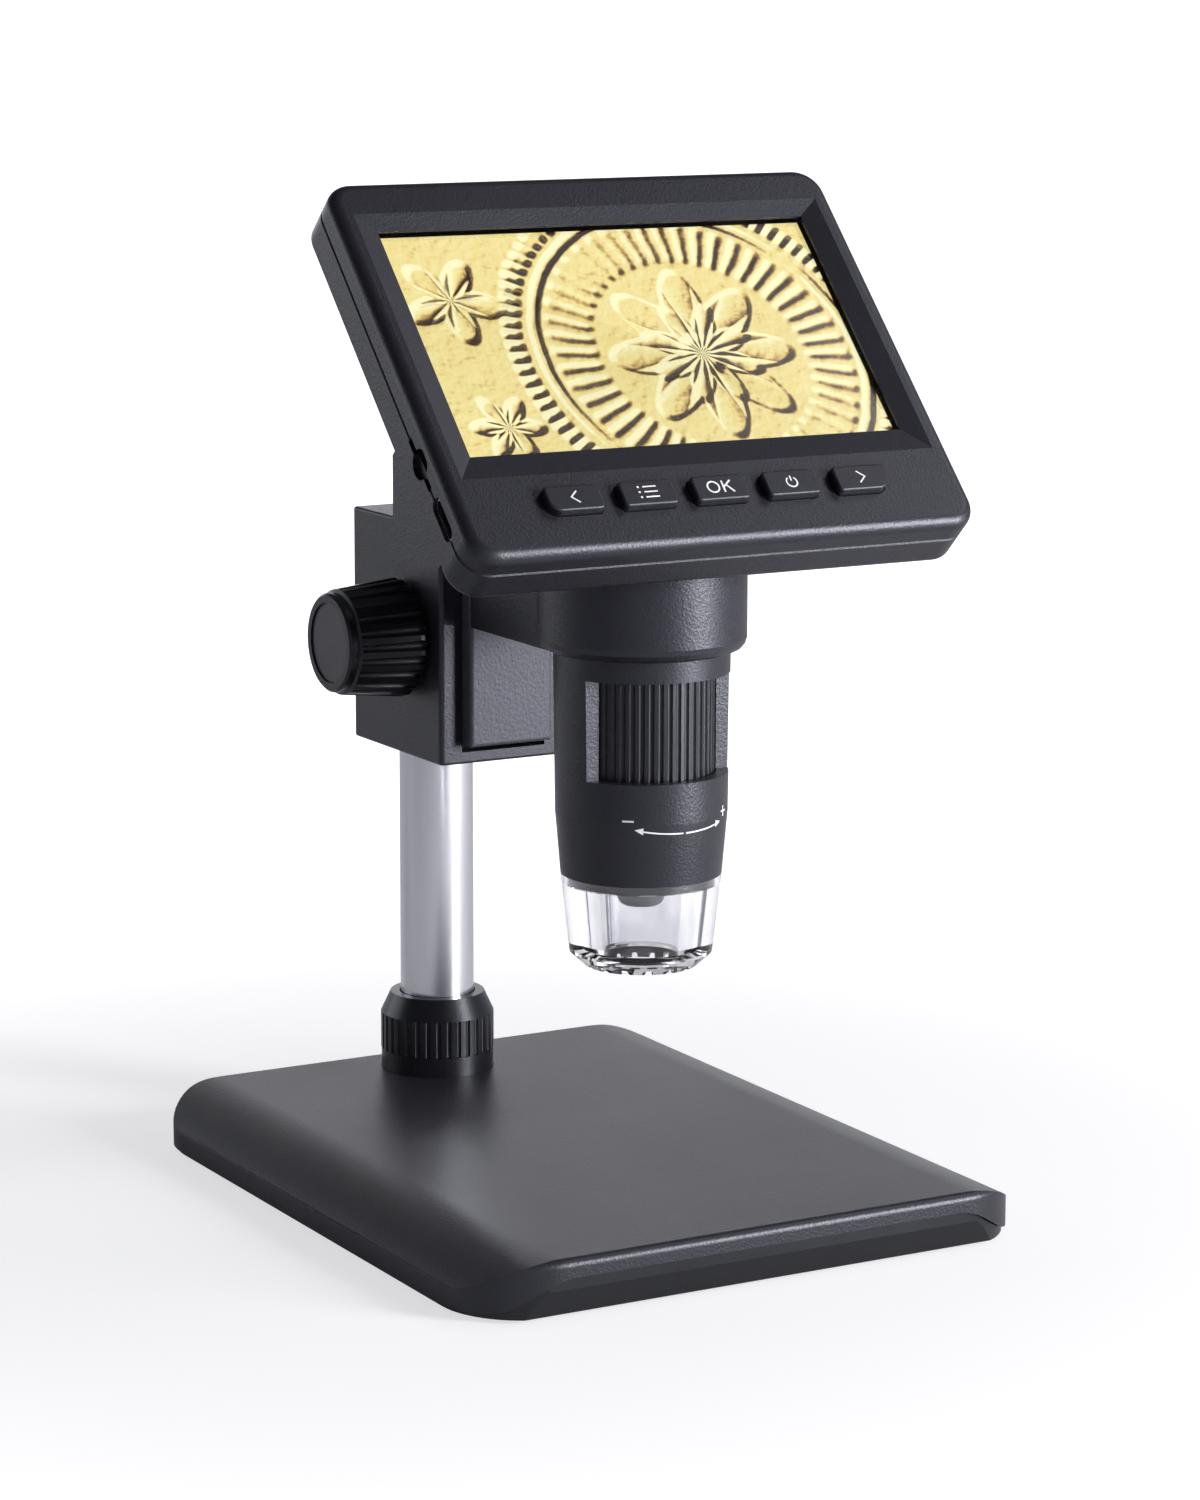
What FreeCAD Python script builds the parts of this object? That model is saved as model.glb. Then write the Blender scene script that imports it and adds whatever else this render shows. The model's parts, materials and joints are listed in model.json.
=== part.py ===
import FreeCAD, Part
import Sketcher
import math
import os

# Bench microscope with its own display: a flat base with a tube post, a rack-and-pinion carriage,
# and a tilted display housing whose barrel looks down at the base. Millimetres, +Z up, +Y to the back.
# The origin is the middle of the base's footprint, on the floor.

doc = FreeCAD.newDocument("Microscope")
sheet = doc.addObject("Spreadsheet::Sheet", "Dim")


class Size:
    """A number that also remembers the spreadsheet formula it came from."""

    def __init__(self, text, value):
        self.text = text
        self.value = float(value)

    def join(self, other, sign, value, swap=False):
        word = other.text if isinstance(other, Size) else repr(other)
        pair = (word, self.text) if swap else (self.text, word)
        return Size("(" + pair[0] + " " + sign + " " + pair[1] + ")", value)

    def __add__(self, other):
        return self.join(other, "+", self.value + number(other))

    def __radd__(self, other):
        return self.join(other, "+", number(other) + self.value, True)

    def __sub__(self, other):
        return self.join(other, "-", self.value - number(other))

    def __rsub__(self, other):
        return self.join(other, "-", number(other) - self.value, True)

    def __mul__(self, other):
        return self.join(other, "*", self.value * number(other))

    def __rmul__(self, other):
        return self.join(other, "*", number(other) * self.value, True)

    def __truediv__(self, other):
        return self.join(other, "/", self.value / number(other))

    def __neg__(self):
        return Size("(0 - " + self.text + ")", -self.value)


def number(item):
    return item.value if isinstance(item, Size) else float(item)


def words(item):
    return item.text if isinstance(item, Size) else repr(float(item))


def cosine(angle):
    return Size("cos(" + angle.text + ")", math.cos(math.radians(angle.value)))


def sine(angle):
    return Size("sin(" + angle.text + ")", math.sin(math.radians(angle.value)))


row_count = [0]


def size(alias, value, note):
    row_count[0] += 1
    row = str(row_count[0])
    sheet.set("A" + row, note)
    sheet.set("B" + row, repr(value))
    sheet.setAlias("B" + row, alias)
    return Size("Dim." + alias, value)


zero = Size("0", 0)

# Stand: base and post
base_x = size("baseWidth", 126.0, "width of the base")
base_y = size("baseDepth", 154.4, "depth of the base")
base_r = size("baseCorner", 18.0, "plan corner radius of the base")
base_top = size("baseHeight", 12.1, "height of the base's flat top")
pad_gap = size("padGap", 0.8, "height the rubber feet lift the pan")
strip = size("panStrip", 0.8, "edge of the pan seen under the top shell")
strip_in = size("panInset", 0.8, "how far the pan's edge sits inside the top shell")
floor_t = size("panThickness", 1.6, "pan plate above its visible edge")
roll_x = size("rollWidth", 16.3, "width of the rounded sides of the base")
roll_z = size("rollDrop", 6.5, "drop of the rounded sides of the base")
roof_t = size("roofThickness", 2.6, "thickness of the base's top")
arch_z = size("archHeight", 8.4, "height of the arched seam at the front")
arch_x = size("archHalf", 43.5, "half width of the flat middle of the arched seam")
arch_end = size("archEnd", 60.6, "half width of the arched seam where it comes down to the pan")
arch_in = size("archDepth", 12.0, "depth of the arched front opening")
fit = size("fit", 0.15, "clearance between two moulded parts")
post_r = size("postRadius", 7.95, "outer radius of the post")
post_in = size("postInner", 6.0, "inner radius of the post")
post_y = size("postY", 62.5, "post axis behind the origin")
post_top = size("postTop", 141.0, "top end of the post tube")
run = size("runFit", 0.05, "radial clearance of a running fit")
nut_r = size("nutRadius", 12.3, "outer radius of the knurled clamp nut")
nut_face = size("nutFace", 10.2, "radius of the nut's top face")
flange_z = size("flangeHeight", 4.3, "plain band under the nut")
flange_in = size("flangeSunk", 0.6, "how deep the flange sits in the base's top")
nut_z = size("nutHeight", 12.5, "height of the knurled nut")
cone_z = size("nutCone", 4.5, "height of the nut's cone")
collet_r = size("colletRadius", 9.6, "outer radius of the threaded collet inside the nut")
# Carriage, slider and focusing knobs
car_x = size("carriageHalf", 14.8, "half width of the carriage")
car_front = size("carriageFront", 31.8, "front face of the carriage")
car_back = size("carriageBack", 72.4, "back face of the carriage")
car_z0 = size("carriageBottom", 85.0, "bottom of the carriage")
car_z1 = size("carriageTop", 135.0, "top of the carriage")
car_floor = size("carriageFloor", 2.5, "ledge that closes the guide at the bottom")
mouth = size("guideMouth", 9.8, "half width of the guide's mouth")
guide = size("guideHalf", 11.6, "half width of the guide behind its lips")
lip = size("guideLip", 3.0, "depth of the guide's lips")
guide_d = size("guideDepth", 5.0, "depth of the guide behind its lips")
slip = size("slip", 0.2, "clearance of the slider in its guide")
plate_out = size("plateProud", 3.7, "how far the slider's plate stands proud of the carriage")
slide_z0 = size("sliderBottom", 89.0, "lower end of the slider")
slide_z1 = size("sliderTop", 133.0, "upper end of the slider")
gear_y = size("pinionY", 47.4, "pinion axis behind the origin")
gear_z = size("pinionZ", 110.3, "pinion axis above the floor")
gear_m = size("gearModule", 0.8, "module of the rack and pinion")
gear_w = size("gearHalf", 4.0, "half width of the rack's teeth")
shaft_r = size("shaftRadius", 2.5, "radius of the pinion shaft")
bush_r = size("bushRadius", 4.0, "outer radius of the shaft bushes")
knob_r = size("knobRadius", 12.5, "large end radius of the knobs")
knob_end = size("knobEnd", 10.4, "outer end radius of the knobs")
knob_l = size("knobLength", 17.2, "length of a knob")
knob_gap = size("knobGap", 1.0, "gap between a knob and the carriage")
# Display housing, in its own tilted frame: x across, y up the screen, z out of the screen
tilt = size("screenTilt", 46.2, "angle of the screen from level, in degrees")
head_y = size("screenY", -25.8, "middle of the screen, from the origin")
head_z = size("screenZ", 179.8, "middle of the screen above the floor")
half_w = size("housingHalf", 56.2, "half width of the housing")
top_v = size("housingTop", 39.4, "housing edge above the middle of the screen")
bot_v = size("housingBottom", 51.7, "housing edge below the middle of the screen")
face_h = size("faceHeight", 1.2, "housing face in front of the screen window")
seam_h = size("seamDepth", 4.3, "seam between the two shells, behind the window")
seam_v = size("seamChamfer", 0.35, "small chamfers that open the seam into a line")
rear_h = size("rearDepth", 12.1, "flat rear of the housing, behind the window")
shell_r = size("housingCorner", 6.0, "plan corner radius of the housing")
edge_r = size("edgeRound", 2.4, "rounding of the front edges")
wall = size("wall", 2.2, "wall of the housing")
win_x = size("windowHalfX", 48.02, "half width of the picture window")
win_y = size("windowHalfY", 27.43, "half height of the picture window")
bev_x = size("bevelHalfX", 52.4, "half width of the sloping frame")
bev_t = size("bevelTop", 31.0, "sloping frame's upper edge")
bev_b = size("bevelBottom", 33.3, "sloping frame's lower edge")
key_p = size("keyPitch", 15.9, "spacing of the keys")
key_w = size("keyWidth", 11.8, "width of a key")
key_t = size("keyHeight", 5.8, "height of a key")
key_v = size("keyLine", 40.3, "key line below the middle of the screen")
key_up = size("keyProud", 1.9, "how far a key stands out of the face")
key_r = size("keyCorner", 1.0, "corner radius of a key")
key_big = size("keyBigCorner", 2.6, "large outer corner of the two end keys")
key_gap = size("keyGap", 0.2, "gap around a key")
wedge_y = size("wedgeBack", -28.8, "back wall of the lower wedge")
wedge_z = size("wedgeBottom", 139.8, "underside of the lower wedge")
hub_x = size("hubHalf", 21.0, "half width of the hub over the barrel")
hub_y = size("hubBack", -5.2, "back of the hub")
hub_z = size("hubTop", 157.5, "top of the hub")
arm_x = size("armHalf", 9.6, "half width of the arm and the slider's plate")
arm_z0 = size("armBottom", 114.5, "underside of the arm")
arm_z1 = size("armTop", 151.0, "top of the arm")
# Barrel, lens and clear cap
axis_y = size("barrelY", -26.2, "optical axis, from the origin")
collar_r = size("collarRadius", 20.8, "radius of the barrel's collar")
collar_z = size("collarBottom", 117.4, "seam between the collar and the barrel")
barrel_r = size("barrelTopRadius", 17.6, "barrel radius at the collar")
barrel_m = size("barrelMidRadius", 17.2, "barrel radius below the focus window")
barrel_e = size("barrelEndRadius", 16.1, "barrel radius where the clear cap starts")
barrel_mz = size("barrelTaperZ", 85.0, "where the barrel's taper starts")
barrel_z = size("barrelEndZ", 72.3, "lower end of the barrel's dark part")
ring_r = size("focusRadius", 14.5, "radius of the ribbed focus ring")
ring_in = size("focusBore", 12.0, "bore of the focus ring")
ring_z0 = size("focusBottom", 91.6, "lower face of the focus ring")
ring_z1 = size("focusTop", 113.4, "upper face of the focus ring")
ring_gap = size("focusGap", 0.3, "clearance around the focus ring")
view_z0 = size("windowLow", 93.0, "lower edge of the focus window")
view_z1 = size("windowHigh", 113.0, "upper edge of the focus window")
view_y = size("windowFlat", 6.4, "flat that opens the focus window, in front of the axis")
nose_r = size("noseRadius", 4.8, "radius of the lens nose")
nose_z = size("noseBottom", 66.6, "lower end of the lens nose")
led_c = size("ledCircle", 10.6, "radius of the circle of lamps")
spigot_r = size("spigotRadius", 14.5, "radius of the spigot that holds the clear cap")
spigot_l = size("spigotLength", 1.7, "length of that spigot")
cap_r = size("capBore", 7.5, "lower bore of the clear cap, a thick light guide")
cap_z = size("capBottom", 53.6, "lower end of the clear cap")
cap_e = size("capShoulder", 14.3, "radius of the clear cap at its shoulder")
cap_s = size("capShoulderZ", 56.3, "height of the clear cap's shoulder")

V2 = FreeCAD.Vector
nodes = []


def body(name, tilted=False):
    item = doc.addObject("PartDesign::Body", name)
    item.Label = name
    nodes.append(item)
    if tilted:
        turn = FreeCAD.Rotation(V2(1, 0, 0), tilt.value)
        item.Placement = FreeCAD.Placement(V2(0, head_y.value, head_z.value), turn)
        item.setExpression("Placement.Base.y", head_y.text)
        item.setExpression("Placement.Base.z", head_z.text)
        item.setExpression("Placement.Rotation.Angle", tilt.text)
    return item


def on_side(name, y, z, x, sign):
    """A body whose own +Z runs along the row's +X or -X, starting at x."""
    item = doc.addObject("PartDesign::Body", name)
    item.Label = name
    nodes.append(item)
    start = x if sign > 0 else -x
    turn = FreeCAD.Rotation(V2(0, 1, 0), 90 * sign)
    item.Placement = FreeCAD.Placement(V2(number(start), number(y), number(z)), turn)
    item.setExpression("Placement.Base.x", words(start))
    item.setExpression("Placement.Base.y", words(y))
    item.setExpression("Placement.Base.z", words(z))
    return item


def sketch(item, role, offset=None):
    plane = [f for f in item.Origin.OriginFeatures if f.Role == role][0]
    made = item.newObject("Sketcher::SketchObject", item.Name + "_sketch")
    made.AttachmentSupport = (plane, [""])
    made.MapMode = "FlatFace"
    if offset is not None:
        made.AttachmentOffset = FreeCAD.Placement(V2(0, 0, number(offset)), FreeCAD.Rotation())
        made.setExpression("AttachmentOffset.Base.z", words(offset))
    return made


def bind_all(made, entries):
    """Add dimensions in one go, then tie each to its formula."""
    start = made.ConstraintCount
    made.addConstraint([Sketcher.Constraint(kind, *args, number(item)) for kind, args, item in entries])
    for i, (kind, args, item) in enumerate(entries):
        if isinstance(item, Size):
            made.setExpression("Constraints[" + str(start + i) + "]", item.text)


def bind(made, kind, args, item):
    bind_all(made, [(kind, args, item)])


def loop(made, points):
    """Closed outline through points, each tied to the sketch's origin."""
    first = made.GeometryCount
    count = len(points)
    spots = [V2(number(x), number(y), 0) for x, y in points]
    lines = [Part.LineSegment(spots[i], spots[(i + 1) % count]) for i in range(count)]
    made.addGeometry(lines, False)
    nexts = [first + (i + 1) % count for i in range(count)]
    made.addConstraint([Sketcher.Constraint("Coincident", first + i, 2, nexts[i], 1) for i in range(count)])
    entries = []
    for i, (x, y) in enumerate(points):
        entries.append(("DistanceX", (-1, 1, first + i, 1), x))
        entries.append(("DistanceY", (-1, 1, first + i, 1), y))
    bind_all(made, entries)


def circle(made, x, y, radius):
    index = made.addGeometry(Part.Circle(V2(number(x), number(y), 0), V2(0, 0, 1), number(radius)), False)
    bind_all(made, [
        ("DistanceX", (-1, 1, index, 3), x),
        ("DistanceY", (-1, 1, index, 3), y),
        ("Radius", (index,), radius)])


def rounded(made, x0, y0, x1, y1, radii):
    """Rectangle with four corner radii, from the lower left corner anticlockwise."""
    if not isinstance(radii, (list, tuple)):
        radii = [radii] * 4
    first = made.GeometryCount
    a, b, c, d = [number(v) for v in (x0, y0, x1, y1)]
    r = [number(v) for v in radii]
    z = V2(0, 0, 1)
    made.addGeometry([
        Part.LineSegment(V2(a + r[0], b, 0), V2(c - r[1], b, 0)),
        Part.LineSegment(V2(c, b + r[1], 0), V2(c, d - r[2], 0)),
        Part.LineSegment(V2(c - r[2], d, 0), V2(a + r[3], d, 0)),
        Part.LineSegment(V2(a, d - r[3], 0), V2(a, b + r[0], 0)),
        Part.ArcOfCircle(Part.Circle(V2(a + r[0], b + r[0], 0), z, r[0]), math.pi, 1.5 * math.pi),
        Part.ArcOfCircle(Part.Circle(V2(c - r[1], b + r[1], 0), z, r[1]), 1.5 * math.pi, 2 * math.pi),
        Part.ArcOfCircle(Part.Circle(V2(c - r[2], d - r[2], 0), z, r[2]), 0, 0.5 * math.pi),
        Part.ArcOfCircle(Part.Circle(V2(a + r[3], d - r[3], 0), z, r[3]), 0.5 * math.pi, math.pi)], False)
    tangents = [(4, 2, 0, 1), (0, 2, 5, 1), (5, 2, 1, 1), (1, 2, 6, 1),
                (6, 2, 2, 1), (2, 2, 7, 1), (7, 2, 3, 1), (3, 2, 4, 1)]
    for g, p, h, q in tangents:
        made.addConstraint(Sketcher.Constraint("Tangent", first + g, p, first + h, q))
    made.addConstraint([
        Sketcher.Constraint("Horizontal", first),
        Sketcher.Constraint("Horizontal", first + 2),
        Sketcher.Constraint("Vertical", first + 1),
        Sketcher.Constraint("Vertical", first + 3)])
    entries = [("DistanceY", (-1, 1, first, 1), y0), ("DistanceY", (-1, 1, first + 2, 1), y1),
               ("DistanceX", (-1, 1, first + 1, 1), x1), ("DistanceX", (-1, 1, first + 3, 1), x0)]
    bind_all(made, entries + [("Radius", (first + 4 + i,), radii[i]) for i in range(4)])


def grow(item, made, length, both=False, cut=False):
    """Pad, or a pocket, along the sketch's own normal."""
    made.Visibility = False
    kind = "PartDesign::Pocket" if cut else "PartDesign::Pad"
    feature = item.newObject(kind, item.Name + ("_cut" if cut else "_pad"))
    feature.Profile = made
    feature.Length = number(length)
    if isinstance(length, Size):
        feature.setExpression("Length", length.text)
    if both:
        feature.Midplane = True
    elif cut:
        feature.Reversed = True
    return feature


def slab(item, low, high, draw, role="XY_Plane", cut=False):
    """Pad or pocket between two heights of a plane's normal."""
    made = sketch(item, role, low)
    draw(made)
    return grow(item, made, high - low, cut=cut)


def rods(item, spots, radius, low, high, cut=False):
    return slab(item, low, high, lambda s: [circle(s, x, y, radius) for x, y in spots], cut=cut)


def box(item, x0, x1, y0, y1, low, high, cut=False):
    return slab(item, low, high, lambda s: loop(s, [(x0, y0), (x1, y0), (x1, y1), (x0, y1)]), cut=cut)


def soft_box(item, x0, x1, y0, y1, low, high, radii, cut=False):
    return slab(item, low, high, lambda s: rounded(s, x0, y0, x1, y1, radii), cut=cut)


def across(item, points, half, cut=False):
    """Outline in the side plane, grown evenly to both sides of it."""
    made = sketch(item, "YZ_Plane")
    loop(made, points)
    return grow(item, made, 2 * half, both=True, cut=cut)


def turned(item, points, cut=False):
    """Outline of (radius, height) turned about the body's own upright axis."""
    made = sketch(item, "XZ_Plane")
    loop(made, points)
    made.Visibility = False
    feature = item.newObject("PartDesign::Groove" if cut else "PartDesign::Revolution", item.Name + "_turn")
    feature.Profile = made
    feature.ReferenceAxis = (made, ["V_Axis"])
    feature.Angle = 360
    return feature


def around(item, feature, axis, count):
    pattern = item.newObject("PartDesign::PolarPattern", item.Name + "_ring")
    pattern.Originals = [feature]
    pattern.Axis = axis
    pattern.Angle = 360
    pattern.Occurrences = count
    item.Tip = pattern
    return pattern


def soften(item, radius, wanted, kind="PartDesign::Fillet"):
    """Round, or chamfer, the edges that the test picks."""
    doc.recompute()
    base = item.Tip
    names = ["Edge" + str(i + 1) for i, e in enumerate(base.Shape.Edges) if wanted(e)]
    feature = item.newObject(kind, item.Name + "_edge")
    feature.Base = (base, names)
    key = "Radius" if kind == "PartDesign::Fillet" else "Size"
    setattr(feature, key, number(radius))
    if isinstance(radius, Size):
        feature.setExpression(key, radius.text)
    return feature


def level(height, tol=0.02):
    """Test for edges that lie flat at one height."""
    h = number(height)
    return lambda e: abs(e.BoundBox.ZMin - h) < tol and abs(e.BoundBox.ZMax - h) < tol


# Base: moulded top shell over a pan, with screws, pads and a steel weight
bx = base_x / 2
by = base_y / 2
shell_z0 = pad_gap + strip
pan_z1 = shell_z0 + floor_t
roof_z = base_top - roof_t
screw_x = bx - 27.0
screw_y = by - 20.5
corner_spots = [(-screw_x, -screw_y), (screw_x, -screw_y), (-screw_x, screw_y), (screw_x, screw_y)]

base_shell = body("base_shell")
soft_box(base_shell, -bx, bx, -by, by, shell_z0, base_top, base_r)
soften(base_shell, 1.6, level(base_top))
# the long sides roll over an arc that leaves the flat top smoothly and ends at a crease
roll_r = (roll_x * roll_x + roll_z * roll_z) / (2 * roll_z)
for side in (-1, 1):
    made = sketch(base_shell, "XZ_Plane")
    x_in = side * (bx - 0.7 - roll_x)
    x_out = side * (bx - 0.7)
    x_far = side * (bx + 3.0)
    high = base_top + 3.0
    low = base_top - roll_z
    r = roll_r.value
    start = math.pi / 2 - math.asin(roll_x.value / r)
    arc = Part.Circle(V2(number(x_in), base_top.value - r, 0), V2(0, 0, 1), r)
    ends = (start, math.pi / 2) if side > 0 else (math.pi / 2, math.pi - start)
    made.addGeometry(Part.ArcOfCircle(arc, *ends), False)
    inner = V2(number(x_in), base_top.value, 0)
    outer = V2(number(x_out), number(low), 0)
    out2 = V2(number(x_far), number(low), 0)
    top2 = V2(number(x_far), number(high), 0)
    top1 = V2(number(x_in), number(high), 0)
    made.addGeometry([
        Part.LineSegment(outer, out2), Part.LineSegment(out2, top2),
        Part.LineSegment(top2, top1), Part.LineSegment(top1, inner)], False)
    hi_end, lo_end = (2, 1) if side > 0 else (1, 2)
    made.addConstraint([
        Sketcher.Constraint("Coincident", 0, lo_end, 1, 1), Sketcher.Constraint("Coincident", 1, 2, 2, 1),
        Sketcher.Constraint("Coincident", 2, 2, 3, 1), Sketcher.Constraint("Coincident", 3, 2, 4, 1),
        Sketcher.Constraint("Coincident", 4, 2, 0, hi_end), Sketcher.Constraint("Horizontal", 1),
        Sketcher.Constraint("Vertical", 2), Sketcher.Constraint("Horizontal", 3),
        Sketcher.Constraint("Vertical", 4)])
    bind(made, "DistanceX", (-1, 1, 0, hi_end), x_in)
    bind(made, "DistanceY", (-1, 1, 0, hi_end), base_top)
    bind(made, "DistanceX", (-1, 1, 0, lo_end), x_out)
    bind(made, "DistanceY", (-1, 1, 0, lo_end), low)
    bind(made, "DistanceX", (-1, 1, 2, 2), x_far)
    bind(made, "DistanceY", (-1, 1, 2, 2), high)
    bind(made, "Radius", (0,), roll_r)
    grow(base_shell, made, 2 * by + 10.0, both=True, cut=True)
# hollow underside, in a shallow wide step and a deeper narrow one
in_front = by - arch_in - 2.2
hollow_r = base_r - 8.0
soft_box(base_shell, -(bx - 5.2), bx - 5.2, -in_front, by - 5.2, shell_z0, shell_z0 + 3.4, hollow_r, cut=True)
soft_box(base_shell, -(bx - 14.0), bx - 14.0, -in_front, by - 5.2, shell_z0, roof_z, hollow_r, cut=True)
rods(base_shell, corner_spots, 3.6, pan_z1, roof_z + 0.5)
rods(base_shell, [(0.0, post_y)], 13.0, pan_z1, roof_z + 0.5)
rods(base_shell, corner_spots, 1.25, pan_z1, roof_z - 0.6, cut=True)
rods(base_shell, [(0.0, post_y)], post_r, pan_z1, base_top + 1.0, cut=True)
rods(base_shell, [(0.0, post_y)], nut_r, base_top - flange_in, base_top + 1.0, cut=True)


def arch(gap, low):
    """Outline of the arched front opening in the front plane, drawn inside it by a gap, down to a height."""
    top = arch_z - gap
    foot = shell_z0 + 0.1
    right = []
    for i in range(9):
        share = i / 8.0
        along = arch_x - gap + (arch_end - arch_x) * share
        fall = (1 - math.cos(math.pi * share)) / 2
        right.append((along, top - (top - foot) * fall))
    right.append((arch_end - gap, low))
    return right + [(-x, z) for x, z in reversed(right)]


made = sketch(base_shell, "XZ_Plane", by - arch_in)
loop(made, arch(zero, shell_z0 - 1.0))
grow(base_shell, made, arch_in + 2.0, cut=True)

base_pan = body("base_pan")
pan_x = bx - strip_in
pan_y = by - strip_in
soft_box(base_pan, -pan_x, pan_x, -pan_y, pan_y, pad_gap, shell_z0, base_r - strip_in)
plug_x = bx - 5.2 - fit
soft_box(base_pan, -plug_x, plug_x, -(in_front - fit), by - 5.2 - fit, shell_z0, pan_z1, hollow_r - fit)
made = sketch(base_pan, "XZ_Plane", by - arch_in + fit)
loop(made, arch(fit, pad_gap))
grow(base_pan, made, arch_in - fit - 1.1)
# the filler's lower front edge leans in, so the base looks undercut
made = sketch(base_pan, "YZ_Plane")
loop(made, [
    (-(by + 1.0), pad_gap - 1.0), (-(by - 2.6), pad_gap - 1.0), (-(by - 2.6), pad_gap),
    (-(by - 1.1), arch_z - 2.5), (-(by + 1.0), arch_z - 2.5)])
grow(base_pan, made, 2 * bx + 10.0, both=True, cut=True)
# the arch's corners must keep inside the rounded plan of the pan
made = sketch(base_pan, "XY_Plane", pad_gap - 1.0)
rounded(made, -(bx + 9.0), -(by + 9.0), bx + 9.0, by + 9.0, base_r)
rounded(made, -pan_x, -pan_y, pan_x, pan_y, base_r - strip_in)
grow(base_pan, made, base_top, cut=True)
rods(base_pan, corner_spots, 2.9, pad_gap - 0.1, pad_gap + 1.2, cut=True)
rods(base_pan, corner_spots, 1.6, pad_gap, pan_z1 + 0.2, cut=True)
rods(base_pan, [(0.0, post_y)], 4.6, pad_gap - 0.1, pad_gap + 1.3, cut=True)
rods(base_pan, [(0.0, post_y)], 2.7, pad_gap, pan_z1 + 0.2, cut=True)
foot_x = bx - 13.0
foot_y = by - 14.0
foot_spots = [(-foot_x, -foot_y), (foot_x, -foot_y), (-foot_x, foot_y), (foot_x, foot_y)]
rods(base_pan, foot_spots, 6.0, pad_gap - 0.1, pad_gap + 0.6, cut=True)

foot_pads = body("foot_pads")
rods(foot_pads, foot_spots, 5.9, zero, pad_gap + 0.6)

base_weight = body("base_weight")
soft_box(base_weight, -(bx - 17.0), bx - 17.0, -(screw_y - 5.0), post_y - 15.5, pan_z1, pan_z1 + 4.2, 3.0)

base_screws = body("base_screws")
rods(base_screws, corner_spots, 2.75, pad_gap + 0.1, pad_gap + 1.2)
rods(base_screws, corner_spots, 1.25, pad_gap + 1.2, roof_z - 1.2)

# Post: tube with a threaded plug, bolted from below
post = body("post")
rods(post, [(0.0, post_y)], post_r, pan_z1, post_top)
rods(post, [(0.0, post_y)], post_in, pan_z1 - 0.1, post_top + 0.1, cut=True)

post_plug = body("post_plug")
rods(post_plug, [(0.0, post_y)], post_in, pan_z1, pan_z1 + 17.0)
rods(post_plug, [(0.0, post_y)], 2.5, pan_z1 - 0.1, pan_z1 + 12.0, cut=True)

post_bolt = body("post_bolt")
rods(post_bolt, [(0.0, post_y)], 4.3, pad_gap + 0.1, pad_gap + 1.3)
rods(post_bolt, [(0.0, post_y)], 2.5, pad_gap + 1.3, pan_z1 + 10.0)

post_cap = body("post_cap")
rods(post_cap, [(0.0, post_y)], post_in, post_top - 6.0, post_top)
rods(post_cap, [(0.0, post_y)], post_r, post_top, post_top + 1.8)
soften(post_cap, 0.6, level(post_top + 1.8))

flange_top = base_top + flange_z
nut_top = flange_top + nut_z


def standing(name):
    """A body whose own upright axis is the post's."""
    item = body(name)
    item.Placement = FreeCAD.Placement(V2(0, post_y.value, 0), FreeCAD.Rotation())
    item.setExpression("Placement.Base.y", post_y.text)
    return item


post_flange = standing("post_flange")
turned(post_flange, [
    (post_r, base_top - flange_in), (nut_r - 0.1, base_top - flange_in), (nut_r - 0.1, flange_top - 0.1),
    (collet_r, flange_top - 0.1), (collet_r, nut_top - 2.2), (post_r, nut_top - 2.2)])

clamp_nut = standing("clamp_nut")
turned(clamp_nut, [
    (collet_r + run, flange_top), (nut_r, flange_top), (nut_r, nut_top - cone_z), (nut_face, nut_top),
    (post_r + 0.3, nut_top), (post_r + 0.3, nut_top - 1.9), (collet_r + run, nut_top - 1.9)])
made = sketch(clamp_nut, "XY_Plane", flange_top - 0.1)
circle(made, nut_r + 0.25, 0.0, 0.62)
groove = grow(clamp_nut, made, nut_z - cone_z + 0.1, cut=True)
around(clamp_nut, groove, (made, ["N_Axis"]), 34)

# Carriage: block on the post with a T-shaped guide and a cross bore for the pinion
guide_y1 = car_front + lip + guide_d
pitch_r = 6 * gear_m
carriage = body("carriage")
soft_box(carriage, -car_x, car_x, car_front, car_back, car_z0, car_z1, 1.0)
soften(carriage, 0.6, lambda e: level(car_z0)(e) or level(car_z1)(e))
rods(carriage, [(0.0, post_y)], post_r, car_z0 - 1.0, car_z1 + 1.0, cut=True)
guide_z0 = car_z0 + car_floor
box(carriage, -mouth, mouth, car_front - 1.0, car_front + lip + 0.5, guide_z0, car_z1 + 1.0, cut=True)
box(carriage, -guide, guide, car_front + lip, guide_y1, guide_z0, car_z1 + 1.0, cut=True)
box(carriage, -(gear_w + 0.8), gear_w + 0.8, guide_y1 - 0.5, gear_y - 2.6, guide_z0, car_z1 + 1.0, cut=True)
made = sketch(carriage, "YZ_Plane")
circle(made, gear_y, gear_z, pitch_r + 1.9 * gear_m)
grow(carriage, made, 2 * (gear_w + 2.6), both=True, cut=True)
made = sketch(carriage, "YZ_Plane")
circle(made, gear_y, gear_z, bush_r)
grow(carriage, made, 2 * car_x + 4.0, both=True, cut=True)

shaft_bushes = body("shaft_bushes")
bush_in = gear_w + 2.6
for side in (0, 1):
    low = bush_in if side else -car_x
    high = car_x if side else -bush_in
    made = sketch(shaft_bushes, "YZ_Plane", low)
    circle(made, gear_y, gear_z, bush_r)
    circle(made, gear_y, gear_z, shaft_r + run)
    grow(shaft_bushes, made, high - low)

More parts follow.
